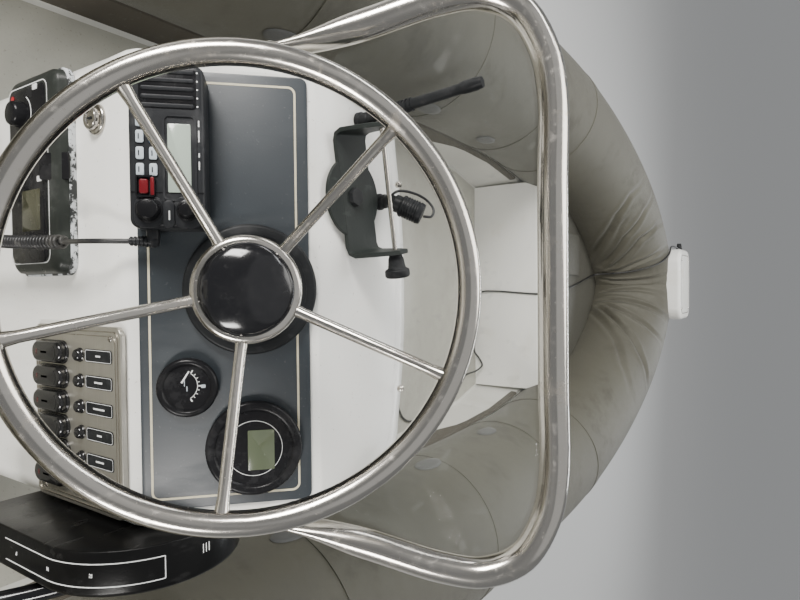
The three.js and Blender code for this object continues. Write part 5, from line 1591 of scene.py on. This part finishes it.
def makeTubes():
    shares = sidePath(0, collar["bowShare"], 130)
    starboard = Shape().add(skin([collarRing(s) for s in shares]))
    clothPiece("tubeStarboard", starboard, "tube", 50, ["tube_starboard"])
    clothPiece("tubePort", halfMirror(starboard), "tube", 50, ["tube_port"])
    rings = [collarRing(s, sides=120) for s in sidePath(collar["bowShare"] + 0.0001, 1, 230)]
    _, out, _ = collarAt(1)
    onward = Vector((-out.y, out.x, 0)) * 0.2
    rings += [[p + onward * k / 8 for p in rings[-1]] for k in range(1, 9)]
    half = Shape().add(skin(rings))
    mesh = plainMesh("half", half.points, half.faces)
    work = bmesh.new()
    work.from_mesh(mesh)
    everything = work.verts[:] + work.edges[:] + work.faces[:]
    bmesh.ops.bisect_plane(work, geom=everything, plane_co=(0, 0, 0), plane_no=(-1, 0, 0), clear_outer=True)
    twin = bmesh.ops.duplicate(work, geom=work.verts[:] + work.edges[:] + work.faces[:])
    for v in twin["geom"]:
        if isinstance(v, bmesh.types.BMVert):
            v.co.x = -v.co.x
    bmesh.ops.remove_doubles(work, verts=[v for v in work.verts if abs(v.co.x) < 1e-5], dist=1e-5)
    bmesh.ops.recalc_face_normals(work, faces=work.faces)
    work.to_mesh(mesh)
    work.free()
    points = []
    line = np.array([c[:] for c, _ in collarSamples])
    for v in mesh.vertices:
        beside = Vector((abs(v.co.x), v.co.y, v.co.z))
        k = int(np.argmin(((line - np.array(beside)) ** 2).sum(1)))
        centre, out = collarSamples[k]
        away = beside - centre
        along = collarReach[k] - away.dot(Vector((-out.y, out.x, 0)))
        angle = atan2(away.z, away.dot(out)) % fullTurn
        around = (pi - angle) * hypot(away.z, away.dot(out))
        side = 1 if v.co.x > 0 else -1
        depth = foldDepth(along / mm, around / mm, side) if angle < 4 else 0
        spoke = away.normalized()
        points.append((v.co.x - spoke.x * side * depth, v.co.y - spoke.y * depth, v.co.z - spoke.z * depth))
    joined = Shape().add((points, [list(p.vertices) for p in mesh.polygons]))
    clothPiece("tubeBow", joined, "tube", 60, ["tube_bow"])
    cone = [(0.0, 0.3)]
    for i in range(25):
        t = i / 24
        cone.append((70 + 165 * sqrt(1 - t * t * 0.92) - 0.6, 0.3 + 330 * t))
    cone.append((0.0, 330.3))
    centre, _, _ = collarAt(0)
    for side, name, node in bothSides:
        at = Matrix.Translation((side * centre.x, centre.y, centre.z)) @ quarter("X")
        shape = Shape().add(turned(cone, 72), 0, at)
        clothPiece("sternCone" + name, shape, "tube", 50, ["stern_cone_" + node])


makeTubes()


def onCollar(share, angle, grow, side=1):
    centre, out, radius = collarAt(share)
    spoke = out * cos(angle) + Vector((0, 0, sin(angle)))
    turn = angle % fullTurn
    reach = float(np.interp(share * collarSteps, range(collarSteps + 1), collarReach))
    dip = foldDepth(reach / mm, (pi - turn) * radius / mm, side) if turn < 4 else 0
    p = centre + spoke * (radius + grow * mm - dip)
    return Vector((p.x * side, p.y, p.z))


def makeTapes():
    # glued tapes over the joints of the cloth, and the oval patches on the tubes' inner sides
    shape = Shape()
    for side in (-1, 1):
        for share, width in ((0.045, 60), (0.125, 45), (0.215, 45), (0.31, 45), (0.405, 45), (0.5, 60)):
            half = width * mm / collarLength / 2
            rings = []
            for s, grow in ((share - half, -1.6), (share - half, 0.9), (share, 1.2), (share + half, 0.9),
                            (share + half, -1.6)):
                rings.append([onCollar(s, -a, grow, side) for a in angles(72)])
            shape.add(skin(rings, caps=(False, False)), 0)
        for angle, width, first, last in ((-2.25, 46, 0, 0.72), (-0.9, 40, 0, 0.8)):
            half = width * mm / 0.235 / 2
            rings = []
            for s in sidePath(first, last, 150):
                rings.append([onCollar(s, angle + half * a, g, side)
                              for a, g in ((-1, -1.6), (-1, 0.8), (0, 1.0), (1, 0.8), (1, -1.6))])
            shape.add(skin(rings, closed=False, caps=(False, False)), 0)
    clothPiece("tubeTapes", shape, "tube", 50)
    patches = Shape()
    spots = [(-489, 831, 400), (-505, 437, 400), (478, 825, 400), (499, 426, 400), (-512, -120, 398),
             (512, -120, 398)]
    for x, y, z in spots:
        side = 1 if x > 0 else -1
        share = min((i / 800 for i in range(801)), key=lambda s: abs(collarAt(s)[0].y - y * mm))
        centre, _, radius = collarAt(share)
        angle = pi - asin((z * mm - centre.z) / radius)
        rings = []
        for k in (1.0, 0.97, 0.6, 0.25, 0.01):
            ring = []
            for a in angles(36):
                wide = 44 * mm / collarLength * k * cos(a)
                tall = 27 * mm / radius * k * sin(a)
                ring.append(onCollar(share + wide, angle + tall, 0.2 if k == 1.0 else 1.3 + 1.2 * (1 - k),
                                     side))
            rings.append(ring)
        patches.add(skin(rings, caps=(False, True)))
    clothPiece("tubePatches", patches, "patch", 60)


makeTapes()

strake = {
    "rise": 0.12, "half": 0.13,
    "steps": [  # height over the cloth, share of the half width
        (-3, 1), (9, 0.99), (13.4, 0.86), (15.4, 0.74), (16, 0.6), (16, 0.42), (12.2, 0.34), (12.2, 0.2),
        (16, 0.12),
    ],
}


def strakeRing(share, side, nose=False):
    centre, out, radius = collarAt(share)
    section = []
    outline = [(rise, strake["half"] * share) for rise, share in strake["steps"]]
    outline += [(rise, -turn) for rise, turn in outline[::-1]]
    for rise, a in outline:
        angle = strake["rise"] + a
        r = radius + rise * mm
        p = centre + out * cos(angle) * r + Vector((0, 0, sin(angle) * r))
        if nose:
            p = Vector((0, centre.y + (p.y - centre.y) / out.y ** 2, p.z))
        section.append((p.x * side, p.y, p.z))
    return section


def makeStrakes():
    shares = sidePath(0, collar["bowShare"], 110)
    for side, name, node in bothSides:
        shape = Shape().add(skin([strakeRing(s, side) for s in shares]))
        piece("strake" + name, shape, ["strake"], ["rub_strake_" + node], angle=35)
    shares = sidePath(collar["bowShare"] + 0.0003, 0.995, 110)
    rings = [strakeRing(s, 1) for s in shares] + [strakeRing(1, 1, True)]
    rings += [strakeRing(s, -1) for s in shares[::-1]]
    piece("strakeBow", Shape().add(skin(rings)), ["strake"], ["rub_strake_bow"], angle=35)


makeStrakes()
print("collar made")


# Hull: the solids themselves, with the sole's covering between the collar's seats
hull = {"stations": (-1998, -700, 200, 800, 1150, 1345, 1550, 1800, 1980, 2060), "flangeAngle": 0.7}


def keepNode(name, finish):
    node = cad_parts[name]
    node.data.materials.clear()
    node.data.materials.append(finishes[finish])
    return node


def nearCollar(y):
    share = min((i / collarSteps for i in range(collarSteps + 1)),
                key=lambda s: abs(collarAt(s)[0].y - y * mm))
    return collarAt(share)


def seatAt(y):
    # inner edge and height of the collar's seat on the moulding, straight between its stations
    inners, heights = [], []
    for station in hull["stations"]:
        centre, out, radius = nearCollar(station)
        reach = radius / max(out.x, 0.45)
        inners.append(max(centre.x - reach * cos(hull["flangeAngle"]) - 8 * mm, 14 * mm))
        heights.append(centre.z - radius * sin(hull["flangeAngle"]))
    return [float(np.interp(y, hull["stations"], values)) for values in (inners, heights)]


def makeSole():
    # non-slip covering on the sole, and a dark strip along the collar's foot: painted shade where the collar
    # meets the moulding, with some grime
    rows = sorted(set(list(range(-1985, 1315, 55)) + [1316] + list(hull["stations"][1:5])))
    top = 100.25 * mm
    cover = []
    strips = {1: [], -1: []}
    for y in rows:
        inner, seat = seatAt(y)
        foot = inner - 10 * mm
        cover.append([(x, y * mm, top) for x in np.linspace(-foot + 12 * mm, foot - 12 * mm, 9)])
        rise = (seat - top) / mm
        tall = min(float(np.interp(y, (500, 950), (200, 22))), rise - 3)
        lean = tall * 10 / rise
        profile = [(inner - (lean + 0.6) * mm, seat - tall * mm), (inner - (lean + 2.4) * mm,
                                                                   seat - (tall - 2) * mm),
                   (inner - 3 * mm, seat + 1 * mm), (inner + 6 * mm, seat + 6 * mm),
                   (inner + 7 * mm, seat + 0.6 * mm), (inner - 1 * mm, seat - 3 * mm)]
        for side in (1, -1):
            strips[side].append([(x * side, y * mm, z) for x, z in profile])
    shape = Shape().add(skin(cover, closed=False, caps=(False, False)), 0)
    piece("soleCovering", shape, ["sole"], angle=40)
    strip = Shape().add(skin(strips[1]), 0).add(skin([ring[::-1] for ring in strips[-1]]), 0)
    # the strip's dark colour is painted shade under the collar's foot, with some grime
    piece("collarFootShadeStrip", strip, ["grime"], angle=40)


keepNode("hull", "hullGelcoat")
keepNode("bow_tray", "gelcoat")
keepNode("transom", "hullGelcoat")
makeSole()

# Bow locker: the solid itself, with a softer lid and its latch
locker = {"top": 448, "lid": (-135, 1517.5, 180, 245, 12)}


def makeLocker():
    keepNode("bow_locker", "locker")
    x, y, width, length, thick = locker["lid"]
    at = offset(x, y, locker["top"] + 0.3)
    shape = Shape().add(plate(width, length, thick, 26, 3, 10, 4, crown=0.8), 0, at)
    shape.add(plate(18, 52, 2.4, 8, 1, 6, 3), 1,
              at @ offset(0, -96, thick))
    shape.add(plate(6, 30, 0.6, 2.6, 0.2, 5, 2), 2,
              at @ offset(0, -96, thick + 2.3))
    piece("lockerLid", shape, ["locker", "steel", "plastic"], ["locker_lid"], body="bow_lid")


makeLocker()

# Moulded step on the bow with its light
bowStep = {"x": 172, "y0": 2075, "y1": 2360, "top": 806}


def makeBowStep():
    b = bowStep
    width, length = 2 * b["x"], b["y1"] - b["y0"]
    middle = (b["y0"] + b["y1"]) / 2
    at = offset(0, middle, b["top"] - 134)
    shape = Shape().add(plate(width, length, 134, 70, 16, 14, 6), 0, at)
    shape.add(rimBand(width - 60, length - 60, 46, 12, 3, 1.2), 1, offset(0, middle, b["top"] - 0.8))
    piece("bowStepMoulding", shape, ["gelcoat", "grime"], ["bow_step"], angle=35)
    spots = [(Vector((sx * 118, middle + sy * 92, b["top"])) * mm, (0, 0,
                                                                    1)) for sx in (-1, 1) for sy in (-1, 1)]
    screws("bowStepScrews", spots, 6 * mm)
    shape = Shape()
    lamp = [(0, 0), (15, 0), (15, 8), (13.5, 9.5), (13.5, 12), (12, 13), (12, 20), (11, 21.5), (11, 27),
            (10, 28.5),
            (10, 31.5), (8, 33.7), (0, 33.7)]
    shape.add(turned(lamp, 32), 0,
              offset(-172.3, 2262, 772) @ quarter("Y", -1))
    piece("bowLight", shape, ["plastic"], ["bow_light"])


makeBowStep()


# Helm seat
seat = {"half": 250, "y0": -1640, "y1": -1190, "top": 470, "base": 100.3}


def softPad(name, width, height, depth, corner, at, body, replaced, cap):
    # a padded form: remeshed, blown up by cloth, its spread capped, then one subdivision
    shape = Shape()
    rings = []
    for k, z in ((0.9, 0.0), (0.97, 0.06), (1.0, 0.2), (1.0, 0.72), (0.985, 0.86), (0.95, 0.95),
                 (0.88, 1.0)):
        ring = roundedRing(width * mm * k, height * mm * k, corner * mm * k, 10)
        rings.append([(x, y, z * depth * mm) for x, y in ring])
    shape.add(skin(rings), 0, at)
    made = meshObject(name, shape, ["vinyl"])
    remesh = made.modifiers.new("even", "REMESH")
    remesh.mode = "VOXEL"
    remesh.voxel_size = 6 * mm
    applied(made)
    start = np.array([v.co[:] for v in made.data.vertices])
    cloth = made.modifiers.new("stuffing", "CLOTH")
    cloth.settings.use_pressure = True
    cloth.settings.uniform_pressure_force = 4
    cloth.settings.effector_weights.gravity = 0
    cloth.settings.mass = 0.3
    cloth.point_cache.frame_end = 20
    for step in range(1, 21):
        scene.frame_set(step)
    applied(made)
    end = np.array([v.co[:] for v in made.data.vertices])
    moved = end - start
    far = np.linalg.norm(moved, axis=1, keepdims=True)
    end = start + moved * np.minimum(1, cap * mm / np.maximum(far, 1e-9))
    flat = np.array([(at.inverted() @ Vector(p))[:] for p in end])
    flat[:, 2] = np.clip(flat[:, 2], 0.0, None)
    back = np.array([(at @ Vector(p))[:] for p in flat])
    made.data.vertices.foreach_set("co", back.ravel())
    scene.frame_set(1)
    smooth = made.modifiers.new("soften", "SUBSURF")
    smooth.levels = smooth.render_levels = 1
    applied(made)
    made.data.shade_smooth()
    carry(made, body, replaced)


def makeSeat():
    s = seat
    middle = (s["y0"] + s["y1"]) / 2
    shape = Shape()
    outer = plate(2 * s["half"], s["y1"] - s["y0"], s["top"] - s["base"], 50, 0, 10)
    shape.add(outer, 0, offset(0, middle, s["base"]))
    skirt = plate(2 * s["half"] + 24, s["y1"] - s["y0"] + 24, 18, 58, 8, 10, 4)
    shape.add(skirt, 0, offset(0, middle, s["base"]))
    shape.add(plate(300, 210, 4, 20, 2, 8, 3), 0,
              offset(0, s["y1"], 290) @ quarter("X", -1))
    piece("seatBox", shape, ["gelcoat"], ["seat_box"])
    lid = plate(2 * s["half"] + 20, s["y1"] - s["y0"] - 20, 14, 56, 4, 10, 4)
    shape = Shape().add(lid, 0, offset(0, middle + 15, s["top"] + 0.3))
    piece("seatLid", shape, ["gelcoat"], ["seat_lid"], body="seat_top")
    cushionAt = offset(0, middle + 15, s["top"] + 14.6)
    softPad("seatCushion", 480, 392, 72, 60, cushionAt, "seat_top", ["seat_cushion"], 9)
    padAt = offset(0, -1696.4, 752) @ quarter("X", -1)
    softPad("backrestPad", 384, 214, 54, 50, padAt, "boat", ["backrest_pad"], 8)
    loops = []
    for level in (14.6 + 14, 14.6 + 58):
        ring = roundedRing(492 * mm, 404 * mm, 62 * mm, 14)
        loops.append([(x, y + (middle + 15) * mm, (s["top"] + level) * mm) for x, y in ring])
    piping("cushionPiping", loops, 2.6 * mm, "seat_top", "vinyl", True)
    frameLine = route([
        (-190, -1659, 330), (-190, -1659, 470), (-184, -1710, 620), (-176, -1710, 760), (-130, -1710, 860),
        (130, -1710, 860), (176, -1710, 760), (184, -1710, 620), (190, -1659, 470), (190, -1659, 330)], 12)
    shape = Shape().add(tube(frameLine, 14 * mm, 20))
    for side in (-1, 1):
        for z in (335, 425):
            shape.add(block((side * 190 - 22) * mm, (side * 190 + 22) * mm, -1.652, -1.6403, z * mm,
                            (z + 30) * mm))
    piece("backrestFrame", shape, ["steel"], ["backrest_frame"])


makeSeat()
print("seat made")


# Outboard motor
motor = {
    "cowl": [(372.3, -2140, -2560, 150), (400, -2134, -2580, 160), (430, -2132, -2590, 166),
             (520, -2132, -2604, 171),
             (600, -2136, -2610, 172), (660, -2142, -2606, 167), (710, -2150, -2596,
                                                                  158), (742, -2166, -2572, 141),
             (762, -2190, -2540, 120), (774, -2216, -2508, 94), (780, -2250, -2470, 66)],
    "head": [(341, -2172, -2500, 110), (352, -2160, -2520, 126), (372, -2146, -2552, 144)],
    "leg": [(-330, -2232, -2372, 20), (-205, -2244, -2392, 34), (-60, -2246, -2386, 44),
            (150, -2242, -2392, 52),
            (346, -2238, -2400, 60)],
    "gearcase": [(0, 2150), (6, 2150), (17, 2155), (26, 2164), (35, 2180), (42, 2200), (47, 2250),
                 (50, 2300),
                 (50, 2350), (48, 2400), (44, 2418), (40, 2426), (0, 2426)],
    "propY": -2474, "propZ": -345, "blades": 3, "pitch": 0.62,
}


def foil(z, nose, tail, half, count=48, shrink=0.0):
    ring = []
    for a in angles(count):
        y = (nose + tail) / 2 + cos(a) * ((nose - tail) / 2 - shrink)
        x = sin(a) * (half - shrink) * (1 - 0.22 * (1 - cos(a)))
        ring.append((x * mm, y * mm, z * mm))
    return ring


def makeMotor():
    m = motor
    rings = [foil(*level) for level in m["cowl"]]
    inner = [foil(z - 6, nose - 8, tail + 8, half - 8) for z, nose, tail, half in m["cowl"][:-1]]
    inner[0] = foil(372.3, -2148, -2552, 142)
    shape = Shape().add(skin(inner[::-1] + [rings[0]] + rings))
    for z in (404, 412):
        path = [Vector(p) for p in foil(z, -2134, -2580, 161, 72)]
        shape.add(tube(path, 1.6 * mm, 8, closed=True), 1)
    piece("motorCowling", shape, ["cowl", "plastic"], ["cowling"], angle=40, body="motor")
    keepNode("engine_block", "alloy")
    shape = Shape().add(skin([foil(*level) for level in m["head"]]))
    shape.add(skin([foil(*level, count=36) for level in m["leg"]]))
    shape.add(block(-46 * mm, 46 * mm, -2.3, -2.171, 28 * mm, 59.7 * mm))
    plan = [(-70, -2250), (-40, -2238), (40, -2238), (70, -2250), (92, -2330), (88, -2470), (-88, -2470),
            (-92, -2330)]
    shape.add(slab(plan, 9, -186))
    shape.add(turned(m["gearcase"], 40), 0,
              offset(0, 0, m["propZ"]) @ quarter("X"))
    skeg = [(-2250, -380), (-2330, -505), (-2400, -505), (-2392, -380)]
    rings = [[(side * 4 * mm, y * mm, z * mm) for y, z in skeg] for side in (-1, 1)]
    shape.add(skin(rings))
    piece("motorLeg", shape, ["motor"], ["motor_leg"], bevel=0.0025, angle=38, body="motor")
    shape = Shape()
    hub = [(0, 2426.3), (38, 2426.3), (38, 2450), (36, 2480), (32, 2512), (30, 2520), (22, 2520),
           (20, 2512), (0, 2512)]
    shape.add(turned(hub, 40), 0,
              offset(0, 0, m["propZ"]) @ quarter("X"))
    for blade in angles(m["blades"]):
        turn = offset(0, m["propY"], m["propZ"]) @ Matrix.Rotation(blade, 4, "Y")
        grid = []
        for r in np.linspace(26, 147, 14):
            share = (r - 26) / 121
            chord = 58 + 62 * sin(min(share * 1.15, 1) * pi) ** 0.8 * (1 - 0.15 * share)
            chord *= 1 if share < 0.85 else sqrt(max(1 - ((share - 0.85) / 0.16) ** 2, 0.05))
            pitch = pi / 2 - m["pitch"] - 0.35 * (1 - share)
            ring = []
            for a in angles(20):
                u = cos(a) * chord / 2
                thick = 4.2 * (1 - 0.7 * share) * sin(a) * (1 - 0.3 * abs(cos(a)))
                ring.append((( u * sin(pitch) + thick * cos(pitch)) * mm,
                             (-u * cos(pitch) + thick * sin(pitch)) * mm * 0.8, r * mm))
            grid.append(ring)
        shape.add(skin(grid), 0, turn)
    piece("motorPropeller", shape, ["motor"], ["propeller"], body="propeller")
    keepNode("clamp_bracket", "motor")
    keepNode("swivel_bracket", "motor")


makeMotor()


# Microphone on its clip
def makeMicrophone():
    at = offset(-130, -741, 444) @ quarter("X")
    shape = Shape().add(plate(58, 88, 32, 14, 7, 8, 5), 0, at)
    for i in range(5):
        shape.add(plate(30, 3, 1.4, 1.4, 0.6, 3, 2), 0,
                  at @ offset(0, 8 + i * 6.5, 31.2) @ Matrix.Scale(0.5, 4, (0, 0, 1)))
    boss = [(0, 0), (8, 0), (8.6, 3), (9, 8), (9, 20), (0, 20)]
    shape.add(turned(boss, 28), 0, offset(-130, -757, 384.3))
    piece("microphone", shape, ["plastic"], ["vhf_microphone"])
    keepNode("mic_clip", "steel")


makeMicrophone()
print("motor and microphone made")


# Floor at the waterline
def makeFloor():
    f = Finish("paleFloor")
    f.surface(colour=(0.62, 0.62, 0.61), roughness=0.6)
    mesh = plainMesh("floor", [(-300, -300, 0), (300, -300, 0), (300, 300, 0), (-300, 300, 0)],
                     [[0, 1, 2, 3]])
    mesh.materials.append(f.material)
    linked("floor", mesh)


makeFloor()
